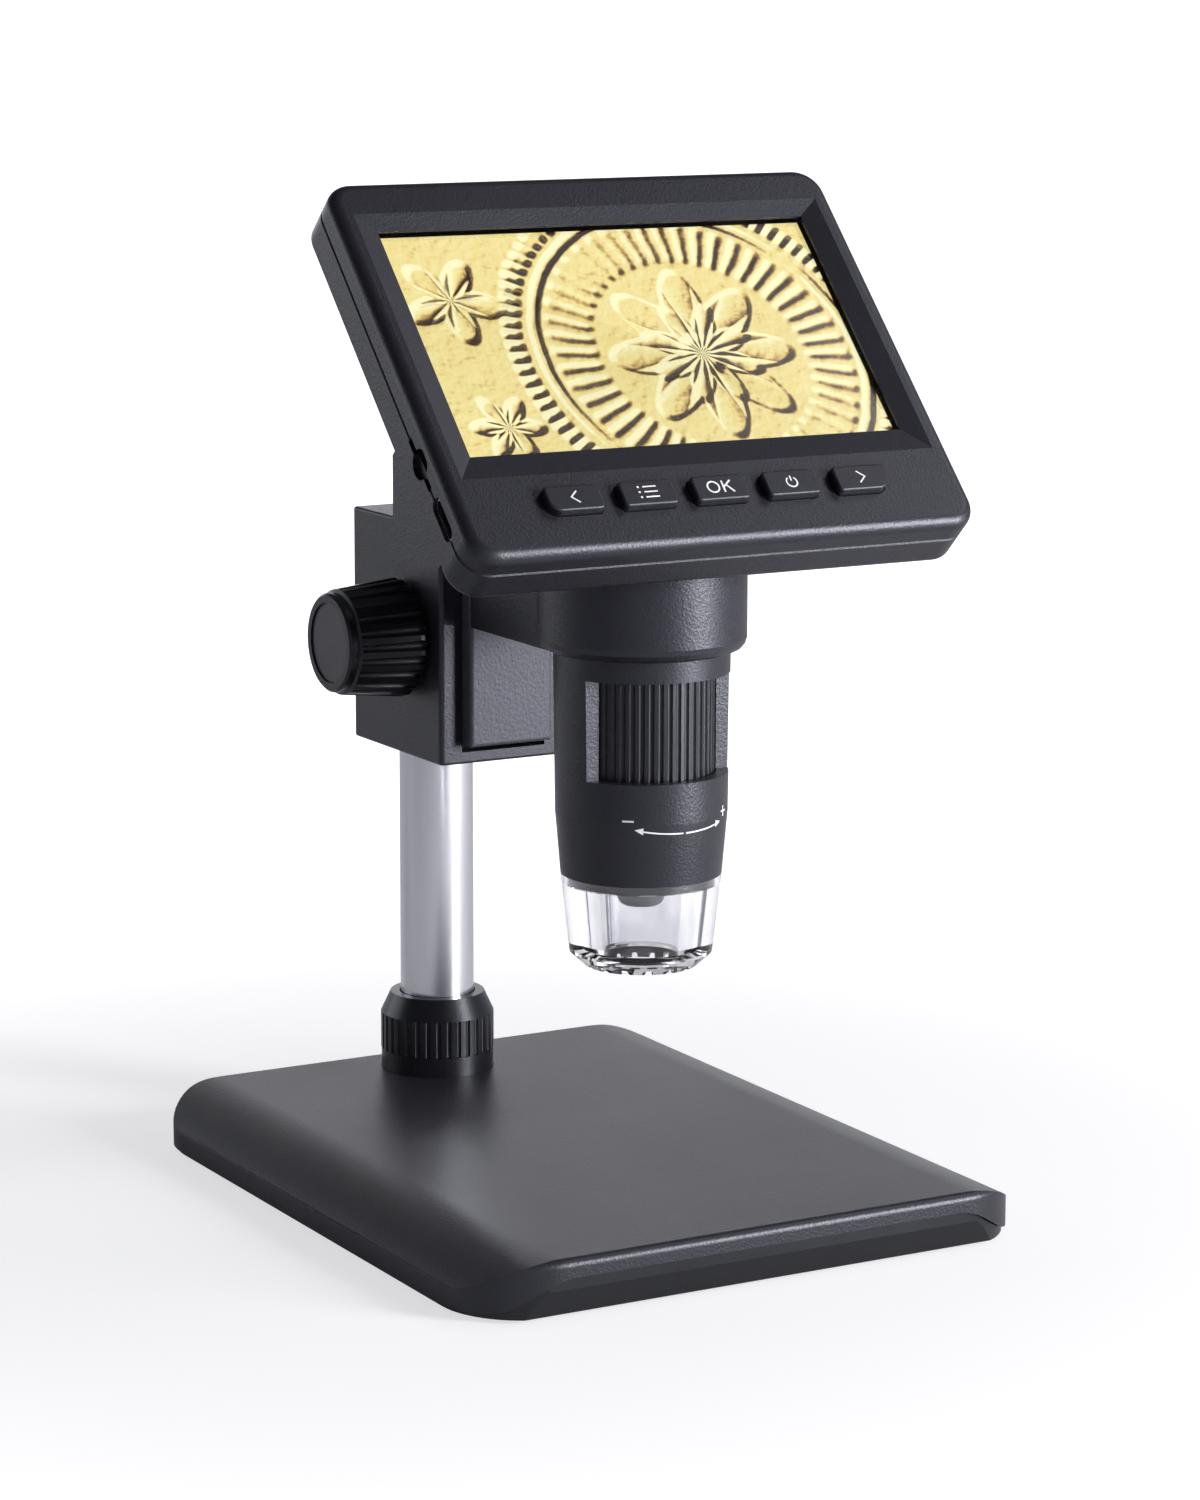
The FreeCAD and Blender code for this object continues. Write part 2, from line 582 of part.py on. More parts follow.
carriage_screw = body("carriage_screw")
made = sketch(carriage_screw, "XZ_Plane", -(car_back + 3.0))
circle(made, 0.0, car_z1 - 8.0, 3.4)
grow(carriage_screw, made, 3.0)
made = sketch(carriage_screw, "XZ_Plane", -car_back)
circle(made, 0.0, car_z1 - 8.0, 2.0)
grow(carriage_screw, made, car_back - post_y - post_r)
made = sketch(carriage_screw, "XZ_Plane", -(car_back + 1.4))
hexagon = []
for i in range(6):
    turn = math.radians(60 * i)
    hexagon.append((1.5 * math.cos(turn), car_z1 - 8.0 + 1.5 * math.sin(turn)))
loop(made, hexagon)
hollow = carriage_screw.newObject("PartDesign::Pocket", "carriage_screw_hex")
hollow.Profile = made
hollow.Length = 3
hollow.Reversed = False
made = sketch(carriage, "XZ_Plane", -(car_back + 1.0))
circle(made, 0.0, car_z1 - 8.0, 2.0)
grow(carriage, made, car_back - post_y - post_r + 2.5, cut=True)

# Slider and rack, carried by the guide
plate_y = car_front - plate_out
slider = body("slider")
box(slider, -arm_x, arm_x, plate_y, car_front + lip + 1.0, slide_z0, slide_z1)
box(slider, -(guide - slip), guide - slip, car_front + lip + slip, guide_y1 - slip, slide_z0, slide_z1)


def plate_edge(e):
    return max(abs(e.BoundBox.YMin - plate_y.value), abs(e.BoundBox.YMax - plate_y.value)) < 0.01


soften(slider, 0.8, plate_edge)
arm_screw_spots = [(-7.0, arm_z0 + 4.5), (7.0, arm_z0 + 4.5), (-7.0, slide_z1 - 4.5), (7.0, slide_z1 - 4.5)]
made = sketch(slider, "XZ_Plane", -(guide_y1 + 1.0))
for x, z in arm_screw_spots:
    circle(made, x, z, 1.3)
grow(slider, made, guide_y1 - plate_y + 2.0, cut=True)
made = sketch(slider, "XZ_Plane", -(guide_y1 + 1.0))
for x, z in arm_screw_spots:
    circle(made, x, z, 2.3)
grow(slider, made, 3.2 + slip, cut=True)

gear_pitch = math.pi * gear_m
rack_back = gear_y - pitch_r - gear_m * 1.25
rack_tip = gear_y - pitch_r + gear_m
slope = math.tan(math.radians(20))
rack = body("rack")
made = sketch(rack, "YZ_Plane")
outline = [(guide_y1 - slip, slide_z0), (rack_back, slide_z0)]
low_tooth = -int((gear_z.value - slide_z0.value) / (math.pi * gear_m.value) - 0.9)
high_tooth = int((slide_z1.value - gear_z.value) / (math.pi * gear_m.value) - 0.9)
half_base = gear_m * (0.65 + 1.25 * slope)
half_tip = gear_m * (0.65 - slope)
for k in range(low_tooth, high_tooth):
    middle = gear_z + gear_pitch * (k + 0.5)
    outline += [(rack_back, middle - half_base), (rack_tip, middle - half_tip)]
    outline += [(rack_tip, middle + half_tip), (rack_back, middle + half_base)]
outline += [(rack_back, slide_z1), (guide_y1 - slip, slide_z1)]
loop(made, outline)
grow(rack, made, 2 * gear_w, both=True)

arm_screws = body("arm_screws")
made = sketch(arm_screws, "XZ_Plane", -(guide_y1 - slip - 0.2))
for x, z in arm_screw_spots:
    circle(made, x, z, 2.1)
grow(arm_screws, made, 2.0)
made = sketch(arm_screws, "XZ_Plane", -(guide_y1 - slip - 2.2))
for x, z in arm_screw_spots:
    circle(made, x, z, 1.2)
grow(arm_screws, made, guide_y1 - slip - 2.2 - plate_y + 7.0)

# Pinion shaft and knobs
pinion = on_side("pinion", gear_y, gear_z, zero - 5.0, 1)
made = sketch(pinion, "XY_Plane")
tooth_count = 12
# one flank from root to tip: how far past the pitch circle, in modules, and half the tooth's angle
flank = [(-1.2, 10.4), (-0.5, 8.2), (0.0, 6.1), (0.5, 4.1), (0.95, 2.2)]
outline = []
for i in range(tooth_count):
    middle = 360.0 / tooth_count * i
    outline += [(pitch_r + past * gear_m, middle - half) for past, half in flank]
    outline += [(pitch_r + past * gear_m, middle + half) for past, half in reversed(flank)]
# the first tooth points at the rack, which lies on this body's own -Y side
teeth = []
for radius, angle in outline:
    turn = math.radians(angle)
    teeth.append((radius * math.sin(turn), -1 * radius * math.cos(turn)))
loop(made, teeth)
circle(made, 0.0, 0.0, shaft_r)
grow(pinion, made, zero + 10.0)

knob_x = car_x + knob_gap
shaft_half = knob_x + knob_l - 4.0
pinion_shaft = on_side("pinion_shaft", gear_y, gear_z, -shaft_half, 1)
made = sketch(pinion_shaft, "XY_Plane")
circle(made, 0.0, 0.0, shaft_r)
grow(pinion_shaft, made, 2 * shaft_half)
soften(pinion_shaft, 0.4, lambda e: level(0.0)(e) or level(2 * shaft_half)(e), "PartDesign::Chamfer")

for side, tag in ((-1, "left"), (1, "right")):
    knob = on_side("knob_" + tag, gear_y, gear_z, knob_x, side)
    turned(knob, [
        (shaft_r, 0.0), (knob_r - 0.8, 0.0), (knob_r, 0.8), (knob_r, 1.6), (knob_end + 0.7, knob_l - 2.4),
        (knob_end, knob_l - 2.0), (knob_end, knob_l - 0.5), (knob_end - 0.5, knob_l),
        (knob_end - 2.0, knob_l),
        (knob_end - 2.0, knob_l - 0.9), (0.0, knob_l - 0.9), (0.0, knob_l - 4.0), (shaft_r, knob_l - 4.0)])
    wide = sketch(knob, "XY_Plane", zero - 0.2)
    circle(wide, knob_r + 0.35, 0.0, 1.15)
    narrow = sketch(knob, "XY_Plane", knob_l - 2.6)
    circle(narrow, knob_end + 1.15, 0.0, 0.85)
    flute = knob.newObject("PartDesign::SubtractiveLoft", knob.Name + "_flute")
    flute.Profile = wide
    flute.Sections = [narrow]
    flute.Ruled = True
    around(knob, flute, (wide, ["N_Axis"]), 24)
    disc = on_side("knob_disc_" + tag, gear_y, gear_z, knob_x + knob_l - 0.9, side)
    rods(disc, [(0.0, 0.0)], knob_end - 2.1, zero, zero + 0.5)

# Housing: rear shell with wedge, hub and arm, then the front shell
cos_t = cosine(tilt)
sin_t = sine(tilt)


def local(y, z):
    """A row point (y, z) in the tilted frame of the housing."""
    dy = y - head_y
    dz = z - head_z
    return (dy * cos_t + dz * sin_t, dz * cos_t - dy * sin_t)


def housing_rect(s, inset, low_radius):
    rounded(s, -(half_w - inset), -(bot_v - inset), half_w - inset, top_v - inset, low_radius)


boss_x = half_w - 5.6
boss_low = -(bot_v - 5.6)
boss_high = top_v - 5.6
boss_spots = [(-boss_x, boss_low), (boss_x, boss_low), (-boss_x, boss_high), (boss_x, boss_high)]
inner_h = rear_h - wall

rear_shell = body("rear_shell", True)
slab(rear_shell, -rear_h, -seam_h, lambda s: housing_rect(s, zero, shell_r))
soften(rear_shell, 1.8, level(-rear_h))
soften(rear_shell, seam_v, level(-seam_h), "PartDesign::Chamfer")
v_top = (wedge_y - head_y - rear_h * sin_t) / cos_t
v_low = (wedge_z - head_z + rear_h * cos_t) / sin_t
corner = local(wedge_y, wedge_z)
across(rear_shell, [
    (v_low, -(rear_h - 2.0)), (v_low, -rear_h), corner, (v_top, -rear_h), (v_top, -(rear_h - 2.0))], half_w)


def wedge_corner(e):
    b = e.BoundBox
    flat = b.YLength < 0.01 and b.ZLength < 0.01
    return flat and abs(b.YMin - corner[0].value) < 0.05 and abs(b.ZMin - corner[1].value) < 0.05


soften(rear_shell, 2.5, wedge_corner)
# hub above the barrel, then the arm that reaches back to the slider
across(rear_shell, [
    local(wedge_y - 3.0, wedge_z), local(hub_y, wedge_z),
    local(hub_y, hub_z), local(wedge_y - 3.0, hub_z)], hub_x)
across(rear_shell, [
    local(hub_y - 4.0, wedge_z + 0.7), local(hub_y + 0.2, wedge_z + 0.7), local(hub_y + 0.2, arm_z0),
    local(plate_y, arm_z0), local(plate_y, arm_z1), local(hub_y - 4.0, arm_z1)], arm_x)
# pilot holes for the slider's screws, drawn in an upright plane just behind the arm's end
made = sketch(rear_shell, "XZ_Plane")
behind = plate_y + 1.0 - head_y
made.AttachmentOffset = FreeCAD.Placement(
    V2(0, -(behind * sin_t).value, -(behind * cos_t).value), FreeCAD.Rotation(V2(1, 0, 0), -tilt.value))
made.setExpression("AttachmentOffset.Base.y", (-(behind * sin_t)).text)
made.setExpression("AttachmentOffset.Base.z", (-(behind * cos_t)).text)
made.setExpression("AttachmentOffset.Rotation.Angle", (-tilt).text)
for x, z in arm_screw_spots:
    circle(made, x, z - head_z, 1.25)
grow(rear_shell, made, zero + 8.6, cut=True)
slab(rear_shell, -inner_h, -seam_h + 1.0, lambda s: housing_rect(s, wall, shell_r - wall), cut=True)
rods(rear_shell, boss_spots, 2.9, -inner_h - 0.5, -seam_h)
rods(rear_shell, boss_spots, 1.5, -rear_h - 1.0, -seam_h + 1.0, cut=True)
rods(rear_shell, boss_spots, 2.6, -rear_h - 1.0, -rear_h + 1.6, cut=True)
# upright bore over the barrel, for the camera board
bore_r = size("cameraBore", 15.0, "bore above the barrel")
bore_z = size("cameraBoreTop", 151.0, "top of the bore above the barrel")
made = sketch(rear_shell, "YZ_Plane")
bore_low = local(axis_y, wedge_z - 3.0)
bore_high = local(axis_y, bore_z)
loop(made, [bore_low, local(axis_y + bore_r, wedge_z - 3.0), local(axis_y + bore_r, bore_z), bore_high])
low_end = V2(number(bore_low[0]), number(bore_low[1]), 0)
high_end = V2(number(bore_high[0]), number(bore_high[1]), 0)
line = made.addGeometry(Part.LineSegment(low_end, high_end), True)
made.addConstraint([
    Sketcher.Constraint("Coincident", line, 1, 0, 1),
    Sketcher.Constraint("Coincident", line, 2, 3, 1)])
bore = rear_shell.newObject("PartDesign::Groove", "camera_bore")
bore.Profile = made
bore.ReferenceAxis = (made, ["Axis0"])
bore.Angle = 360
# battery bay in the wedge
bay_x0 = hub_x + 3.0
bay = [v_low + 6.0, v_top - 7.4]
box(rear_shell, bay_x0, half_w - 5.0, bay[0], bay[1], -(inner_h + 4.4), -inner_h + 1.0, cut=True)

usb_v = size("usbLine", 38.2, "USB socket below the middle of the screen")
card_v = size("cardLine", 25.2, "card slot below the middle of the screen")
port_h = size("portDepth", 4.3, "middle of the side sockets, behind the window")


def side_cut(item, v_mid, half_v, half_h, depth, radius):
    made = sketch(item, "YZ_Plane", -(half_w + 1.0))
    rounded(made, v_mid - half_v, -port_h - half_h, v_mid + half_v, -port_h + half_h, radius)
    grow(item, made, depth + 1.0, cut=True)


def side_ports(item):
    side_cut(item, -usb_v, zero + 4.65, zero + 1.75, wall + 3.2, 1.6)
    side_cut(item, -card_v, zero + 6.1, zero + 0.75, wall + 3.2, 0.4)
    # finger scoop over the middle of the card slot
    made = sketch(item, "YZ_Plane", -(half_w + 1.0))
    circle(made, -card_v, -port_h, 3.0)
    grow(item, made, zero + 2.2, cut=True)


side_ports(rear_shell)

housing_screws = body("housing_screws", True)
rods(housing_screws, boss_spots, 2.5, -rear_h + 0.2, -rear_h + 1.6)
rods(housing_screws, boss_spots, 1.25, -rear_h + 1.6, -1.9)

front_shell = body("front_shell", True)
slab(front_shell, -seam_h, face_h, lambda s: housing_rect(s, zero, shell_r))
soften(front_shell, edge_r, level(face_h))
soften(front_shell, seam_v, level(-seam_h), "PartDesign::Chamfer")
slab(front_shell, -seam_h - 1.0, zero - 1.2, lambda s: housing_rect(s, wall, shell_r - wall), cut=True)
rods(front_shell, boss_spots, 2.9, -seam_h, zero - 1.0)
rods(front_shell, boss_spots, 1.25, -seam_h - 0.1, zero - 1.4, cut=True)
box(front_shell, -(win_x + 2.4), win_x + 2.4, -(win_y + 2.4), win_y + 2.4, zero - 1.3, zero - 0.6, cut=True)
box(front_shell, -win_x, win_x, -win_y, win_y, zero - 1.0, face_h + 0.5, cut=True)
low_frame = sketch(front_shell, "XY_Plane")
loop(low_frame, [(-win_x, -win_y), (win_x, -win_y), (win_x, win_y), (-win_x, win_y)])
high_frame = sketch(front_shell, "XY_Plane", face_h)
loop(high_frame, [(-bev_x, -bev_b), (bev_x, -bev_b), (bev_x, bev_t), (-bev_x, bev_t)])
bevel = front_shell.newObject("PartDesign::SubtractiveLoft", "front_bevel")
bevel.Profile = low_frame
bevel.Sections = [high_frame]
bevel.Ruled = True


def key_radii(i, extra):
    big = key_big + extra
    small = key_r + extra
    return [big if i == 0 else small, big if i == 4 else small, small, small]


def key_rect(s, i, extra):
    x = key_p * (i - 2)
    half_x = key_w / 2 + extra
    half_y = key_t / 2 + extra
    rounded(s, x - half_x, -key_v - half_y, x + half_x, -key_v + half_y, key_radii(i, extra))


made = sketch(front_shell, "XY_Plane", zero - 1.5)
for i in range(5):
    key_rect(made, i, key_gap)
grow(front_shell, made, face_h + 2.0, cut=True)
side_ports(front_shell)

key_names = ["key_back", "key_menu", "key_ok", "key_power", "key_next"]
for i, name in enumerate(key_names):
    key = body(name, True)
    slab(key, zero - 1.4, face_h + key_up, lambda s, i=i: key_rect(s, i, zero))
    soften(key, 0.5, level(face_h + key_up))
    x = key_p * (i - 2)
    rim_x = key_w / 2 + 0.9
    rim_y = key_t / 2 + 0.9
    box(key, x - rim_x, x + rim_x, -key_v - rim_y, -key_v + rim_y, zero - 2.3, zero - 1.3)

# Display and electronics
glass_h = size("coverBack", 1.5, "back of the clear cover, behind the window")
cover = body("screen_cover", True)
box(cover, -(win_x + 2.2), win_x + 2.2, -(win_y + 2.2), win_y + 2.2, -glass_h, zero - 0.6)

panel = body("screen_panel", True)
panel_h = glass_h + 1.1
box(panel, -(win_x + 1.6), win_x + 1.6, -(win_y + 1.8), win_y + 1.8, -panel_h, -glass_h)

screen_frame = body("screen_frame", True)
frame_x = win_x + 2.6
frame_y = win_y + 2.6
box(screen_frame, -frame_x, frame_x, -frame_y, frame_y, -(glass_h + 3.4), -panel_h)

board_h = glass_h + 4.6
main_board = body("main_board", True)
box(main_board, -(half_w - 4.4), half_w - 9.6, -(win_y + 5.0), win_y + 3.0, -(board_h + 1.2), -board_h)
spot_y = win_y - 4.0
spot_x0 = -(win_x - 2.0)
spot_x1 = win_x - 4.0
board_spots = [(spot_x0, -spot_y), (spot_x1, -spot_y), (spot_x0, spot_y), (spot_x1, spot_y)]
rods(main_board, board_spots, 1.6, -board_h - 2.0, -board_h + 0.5, cut=True)

board_posts = body("board_posts", True)
rods(board_posts, board_spots, 1.6, -inner_h, -(glass_h + 3.4))
rods(board_posts, board_spots, 3.0, -inner_h, -(board_h + 1.2))

chips = body("board_chips", True)
for x, y, w, h in ((-10.0, 6.0, 9.0, 9.0), (12.0, 10.0, 6.0, 8.0), (30.0, -4.0, 5.0, 5.0)):
    chip_x = zero + x
    chip_y = zero + y
    chip_low = -(board_h + 2.2)
    box(chips, chip_x - w / 2, chip_x + w / 2, chip_y - h / 2, chip_y + h / 2, chip_low, -(board_h + 1.2))

key_board = body("key_board", True)
box(key_board, -2.9 * key_p, 2.9 * key_p, -key_v - 5.0, -(win_y + 5.5), -(glass_h + 3.9), -(glass_h + 2.9))
key_switches = body("key_switches", True)
made = sketch(key_switches, "XY_Plane", -(glass_h + 2.9))
for i in range(5):
    x = key_p * (i - 2)
    loop(made, [
        (x - 2.2, -key_v - 2.2), (x + 2.2, -key_v - 2.2), (x + 2.2, -key_v + 2.2), (x - 2.2, -key_v + 2.2)])
grow(key_switches, made, zero + 1.4)
key_posts = body("key_board_posts", True)
post_list = [(x * key_p, -key_v) for x in (-1.5, -0.5, 0.5, 1.5)]
rods(key_posts, [(x, y) for x, y in post_list], 1.8, -inner_h, -(glass_h + 3.9))

battery = body("battery", True)
battery_x = half_w - 5.6
battery_low = -(inner_h + 4.4)
soft_box(battery, bay_x0 + 0.6, battery_x, bay[0] + 0.5, bay[1] - 0.5, battery_low, -(inner_h + 0.2), 0.8)

usb_socket = body("usb_socket", True)
made = sketch(usb_socket, "YZ_Plane", -(half_w - 0.6))
rounded(made, -usb_v - 4.45, -port_h - 1.58, -usb_v + 4.45, -port_h + 1.58, 1.5)
rounded(made, -usb_v - 4.15, -port_h - 1.28, -usb_v + 4.15, -port_h + 1.28, 1.25)
grow(usb_socket, made, zero + 6.6)
made = sketch(usb_socket, "YZ_Plane", -(half_w - 6.0))
rounded(made, -usb_v - 4.3, -port_h - 1.4, -usb_v + 4.3, -port_h + 1.4, 1.3)
grow(usb_socket, made, zero + 1.2)
usb_tongue = body("usb_tongue", True)
made = sketch(usb_tongue, "YZ_Plane", -(half_w - 1.4))
loop(made, [
    (-usb_v - 3.3, -port_h - 0.35), (-usb_v + 3.3, -port_h - 0.35),
    (-usb_v + 3.3, -port_h + 0.35), (-usb_v - 3.3, -port_h + 0.35)])
grow(usb_tongue, made, zero + 4.6)
card_socket = body("card_socket", True)
made = sketch(card_socket, "YZ_Plane", -(half_w - 3.0))
for half_v, half_h in ((7.2, 0.95), (5.8, 0.5)):
    loop(made, [
        (-card_v - half_v, -port_h - half_h), (-card_v + half_v, -port_h - half_h),
        (-card_v + half_v, -port_h + half_h), (-card_v - half_v, -port_h + half_h)])
grow(card_socket, made, zero + 2.4)


# Barrel
def optical(name):
    """A body whose own upright axis is the optical axis."""
    item = body(name)
    item.Placement = FreeCAD.Placement(V2(0, axis_y.value, 0), FreeCAD.Rotation())
    item.setExpression("Placement.Base.y", axis_y.text)
    return item


collar = optical("barrel_collar")
turned(collar, [
    (bore_r, wedge_z), (collar_r, wedge_z), (collar_r, collar_z + 2.6), (collar_r - 0.3, collar_z + 1.5),
    (collar_r - 1.0, collar_z + 0.6), (collar_r - 2.2, collar_z), (barrel_r - 0.4, collar_z),
    (barrel_r - 0.4, collar_z + 1.6), (bore_r, collar_z + 1.6)])

spigot_z = barrel_z - spigot_l
barrel = optical("barrel")
tube_in = ring_r + ring_gap
core_in = ring_in + 0.1
turned(barrel, [
    (core_in, collar_z), (barrel_r, collar_z), (barrel_m, barrel_mz), (barrel_e, barrel_z),
    (spigot_r, barrel_z), (spigot_r, spigot_z), (spigot_r - 1.1, spigot_z),
    (spigot_r - 1.1, barrel_mz + 2.5), (core_in, barrel_mz + 2.5), (core_in, ring_z0 - 0.2),
    (tube_in, ring_z0 - 0.2), (tube_in, ring_z1 + 0.2), (core_in, ring_z1 + 0.2)])
rods(barrel, [(0.0, 0.0)], barrel_r - 0.45, collar_z - 0.1, collar_z + 1.6)
rods(barrel, [(0.0, 0.0)], core_in, collar_z - 1.0, collar_z + 2.0, cut=True)
# the focus window is a flat taken off the front of the tube, which leaves a shoulder at each side
view_x = barrel_r + 2.0
box(barrel, -view_x, view_x, -(barrel_r + 3.0), -view_y, view_z0, view_z1, cut=True)

focus_ring = optical("focus_ring")
turned(focus_ring, [
    (ring_in, ring_z0), (ring_r - 0.5, ring_z0), (ring_r, ring_z0 + 0.5),
    (ring_r, ring_z1 - 0.5), (ring_r - 0.5, ring_z1), (ring_in, ring_z1)])
made = sketch(focus_ring, "XY_Plane", ring_z0 - 0.1)
circle(made, ring_r + 0.15, 0.0, 0.62)
groove = grow(focus_ring, made, ring_z1 - ring_z0 + 0.2, cut=True)
around(focus_ring, groove, (made, ["N_Axis"]), 48)

lens_r = ring_in - run
carrier = optical("lens_carrier")
turned(carrier, [
    (2.7, nose_z), (3.3, nose_z), (4.1, nose_z + 0.5), (nose_r - 0.2, nose_z + 1.3), (nose_r, nose_z + 2.4),
    (nose_r, barrel_mz - 4.0), (lens_r, barrel_mz - 1.5), (lens_r, ring_z1 + 1.0),
    (lens_r - 2.0, ring_z1 + 1.0),
    (lens_r - 2.0, barrel_mz + 6.0), (2.7, barrel_mz + 1.0)])
front_lens = optical("front_lens")
turned(front_lens, [
    (0.0, nose_z + 0.3), (1.6, nose_z + 0.45), (2.7, nose_z + 0.9), (2.7, nose_z + 3.0), (0.0, nose_z + 3.0)])
rear_lens = optical("rear_lens")
turned(rear_lens, [
    (0.0, barrel_mz + 12.0), (lens_r - 2.0, barrel_mz + 12.0), (lens_r - 2.0, barrel_mz + 14.0),
    (5.0, barrel_mz + 15.4), (0.0, barrel_mz + 15.8)])

lamp_z = barrel_z - 0.2
lamp_board = optical("lamp_board")
turned(lamp_board, [
    (nose_r + 0.6, lamp_z), (spigot_r - 1.1, lamp_z),
    (spigot_r - 1.1, lamp_z + 1.2), (nose_r + 0.6, lamp_z + 1.2)])
lamps = optical("lamps")
spots = []
for i in range(8):
    turn = math.radians(45 * i + 22.5)
    spots.append((led_c * math.cos(turn), led_c * math.sin(turn)))
rods(lamps, spots, 1.7, lamp_z - 1.3, lamp_z)

sensor_board = optical("camera_board")
box(sensor_board, -10.0, 10.0, -10.0, 10.0, collar_z + 22.4, collar_z + 24.0)
camera_chip = optical("camera_chip")
box(camera_chip, -4.0, 4.0, -4.0, 4.0, collar_z + 20.6, collar_z + 22.4)
holder = optical("camera_holder")
turned(holder, [
    (bore_r - 5.0, collar_z + 1.6), (bore_r, collar_z + 1.6), (bore_r, collar_z + 4.0),
    (bore_r - 3.6, collar_z + 4.0), (bore_r - 3.6, collar_z + 22.4), (bore_r - 5.0, collar_z + 22.4)])

clear_cap = optical("clear_cap")
cap_in = spigot_r + run
turned(clear_cap, [
    (cap_in, barrel_z), (barrel_e, barrel_z), (cap_e, cap_s), (cap_e - 1.0, cap_s - 0.9),
    (cap_e - 3.0, cap_z),
    (cap_r + 2.2, cap_z), (cap_r + 1.4, cap_s - 0.2), (cap_r, cap_s + 0.7), (cap_r + 0.8, spigot_z - 0.2),
    (cap_in, spigot_z - 0.2)])
# notches round the lower rim scatter the lamps' light
made = sketch(clear_cap, "XY_Plane", cap_z - 0.5)
loop(made, [(cap_e - 3.9, -1.0), (cap_e - 0.2, -0.1), (cap_e - 0.2, 0.1), (cap_e - 3.9, 1.0)])
notch = grow(clear_cap, made, zero + 1.5, cut=True)
around(clear_cap, notch, (made, ["N_Axis"]), 16)

# Every feature and solid is checked before anything is written
doc.recompute()
problems = []
for item in doc.Objects:
    if "Invalid" in item.State or "Error" in item.State:
        problems.append(item.Name + " " + str(item.State))
for item in nodes:
    shape = item.Shape
    if shape.isNull() or not shape.isValid() or not shape.Solids:
        problems.append(item.Name + " shape")
if problems:
    raise RuntimeError("; ".join(problems))
os.makedirs("parts", exist_ok=True)
for item in nodes:
    item.Shape.exportStep("parts/" + item.Label + ".step")
print(len(nodes), "nodes written")
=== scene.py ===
# %% [markdown]
# A bench microscope with its own display, dressed for a product picture.
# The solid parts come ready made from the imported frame, so this lesson is about finishes:
# moulded plastic, satin aluminium, clear acrylic and a lit screen, plus the small printed marks
# that are too thin to be worth a solid part. Everything is in metres.

# %% Load the frame
import json
import math
import bmesh
import bpy
from mathutils import Matrix, Vector


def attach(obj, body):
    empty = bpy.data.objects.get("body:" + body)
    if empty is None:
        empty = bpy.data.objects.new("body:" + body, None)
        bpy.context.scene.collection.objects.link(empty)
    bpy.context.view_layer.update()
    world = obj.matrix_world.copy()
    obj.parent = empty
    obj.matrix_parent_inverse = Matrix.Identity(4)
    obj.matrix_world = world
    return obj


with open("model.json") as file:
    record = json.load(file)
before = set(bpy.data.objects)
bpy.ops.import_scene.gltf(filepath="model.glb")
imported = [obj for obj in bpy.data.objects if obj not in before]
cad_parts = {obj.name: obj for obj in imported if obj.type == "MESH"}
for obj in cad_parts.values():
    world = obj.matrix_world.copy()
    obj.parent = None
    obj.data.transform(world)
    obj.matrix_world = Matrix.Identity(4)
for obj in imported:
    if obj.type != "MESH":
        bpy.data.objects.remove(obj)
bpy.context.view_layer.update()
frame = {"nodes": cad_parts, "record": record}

nodes = frame["nodes"]

# %% [markdown]
# The screen housing is tilted, so its printed marks are easiest to draw flat, in the screen's own
# frame, and then to carry over with one matrix: x across, y up the screen, z out of it.

# %% The tilted frame of the housing
TILT = math.radians(46.2)
SCREEN_MIDDLE = Vector((0, -0.0258, 0.1798))
screen_frame = Matrix.Translation(SCREEN_MIDDLE) @ Matrix.Rotation(TILT, 4, "X")
print("screen faces", tuple(round(v, 3) for v in screen_frame.to_3x3() @ Vector((0, 0, 1))))

# %% [markdown]
# Several finishes share the same fine spark-eroded grain. One node group holds it: it reads the
# position on the part, makes a small bumpy height, a faint change of tone and gloss, and light specks
# that are painted glints, and each material then sets its own scale and strength.

# %% Shared group: moulded grain
def new_group(name, inputs, outputs):
    group = bpy.data.node_groups.new(name, "ShaderNodeTree")
    for label, kind, value in inputs:
        socket = group.interface.new_socket(label, in_out="INPUT", socket_type=kind)
        socket.default_value = value
    for label, kind in outputs:
        group.interface.new_socket(label, in_out="OUTPUT", socket_type=kind)
    return group, group.nodes.new("NodeGroupInput"), group.nodes.new("NodeGroupOutput")


def math_node(tree, operation, a, b=None, c=None, clamp=False):
    node = tree.nodes.new("ShaderNodeMath")
    node.operation = operation
    node.use_clamp = clamp
    for socket, value in zip(node.inputs, (a, b, c)):
        if value is None:
            continue
        if isinstance(value, (int, float)):
            socket.default_value = value
        else:
            tree.links.new(value, socket)
    return node.outputs[0]


def noise(tree, vector, scale, detail=2.0, rough=0.5):
    node = tree.nodes.new("ShaderNodeTexNoise")
    node.inputs["Detail"].default_value = detail
    node.inputs["Roughness"].default_value = rough
    tree.links.new(vector, node.inputs["Vector"])
    if isinstance(scale, (int, float)):
        node.inputs["Scale"].default_value = scale
    else:
        tree.links.new(scale, node.inputs["Scale"])
    return node.outputs["Fac"]


def add(tree, a, b, clamp=False):
    return math_node(tree, "ADD", a, b, clamp=clamp)


def times(tree, a, b, clamp=False):
    return math_node(tree, "MULTIPLY", a, b, clamp=clamp)


def mix_colour(tree, fac, a, b):
    node = tree.nodes.new("ShaderNodeMix")
    node.data_type = "RGBA"
    for socket, value in ((node.inputs["Factor"], fac), (node.inputs[6], a), (node.inputs[7], b)):
        if hasattr(value, "node"):
            tree.links.new(value, socket)
        else:
            socket.default_value = value
    return node.outputs[2]


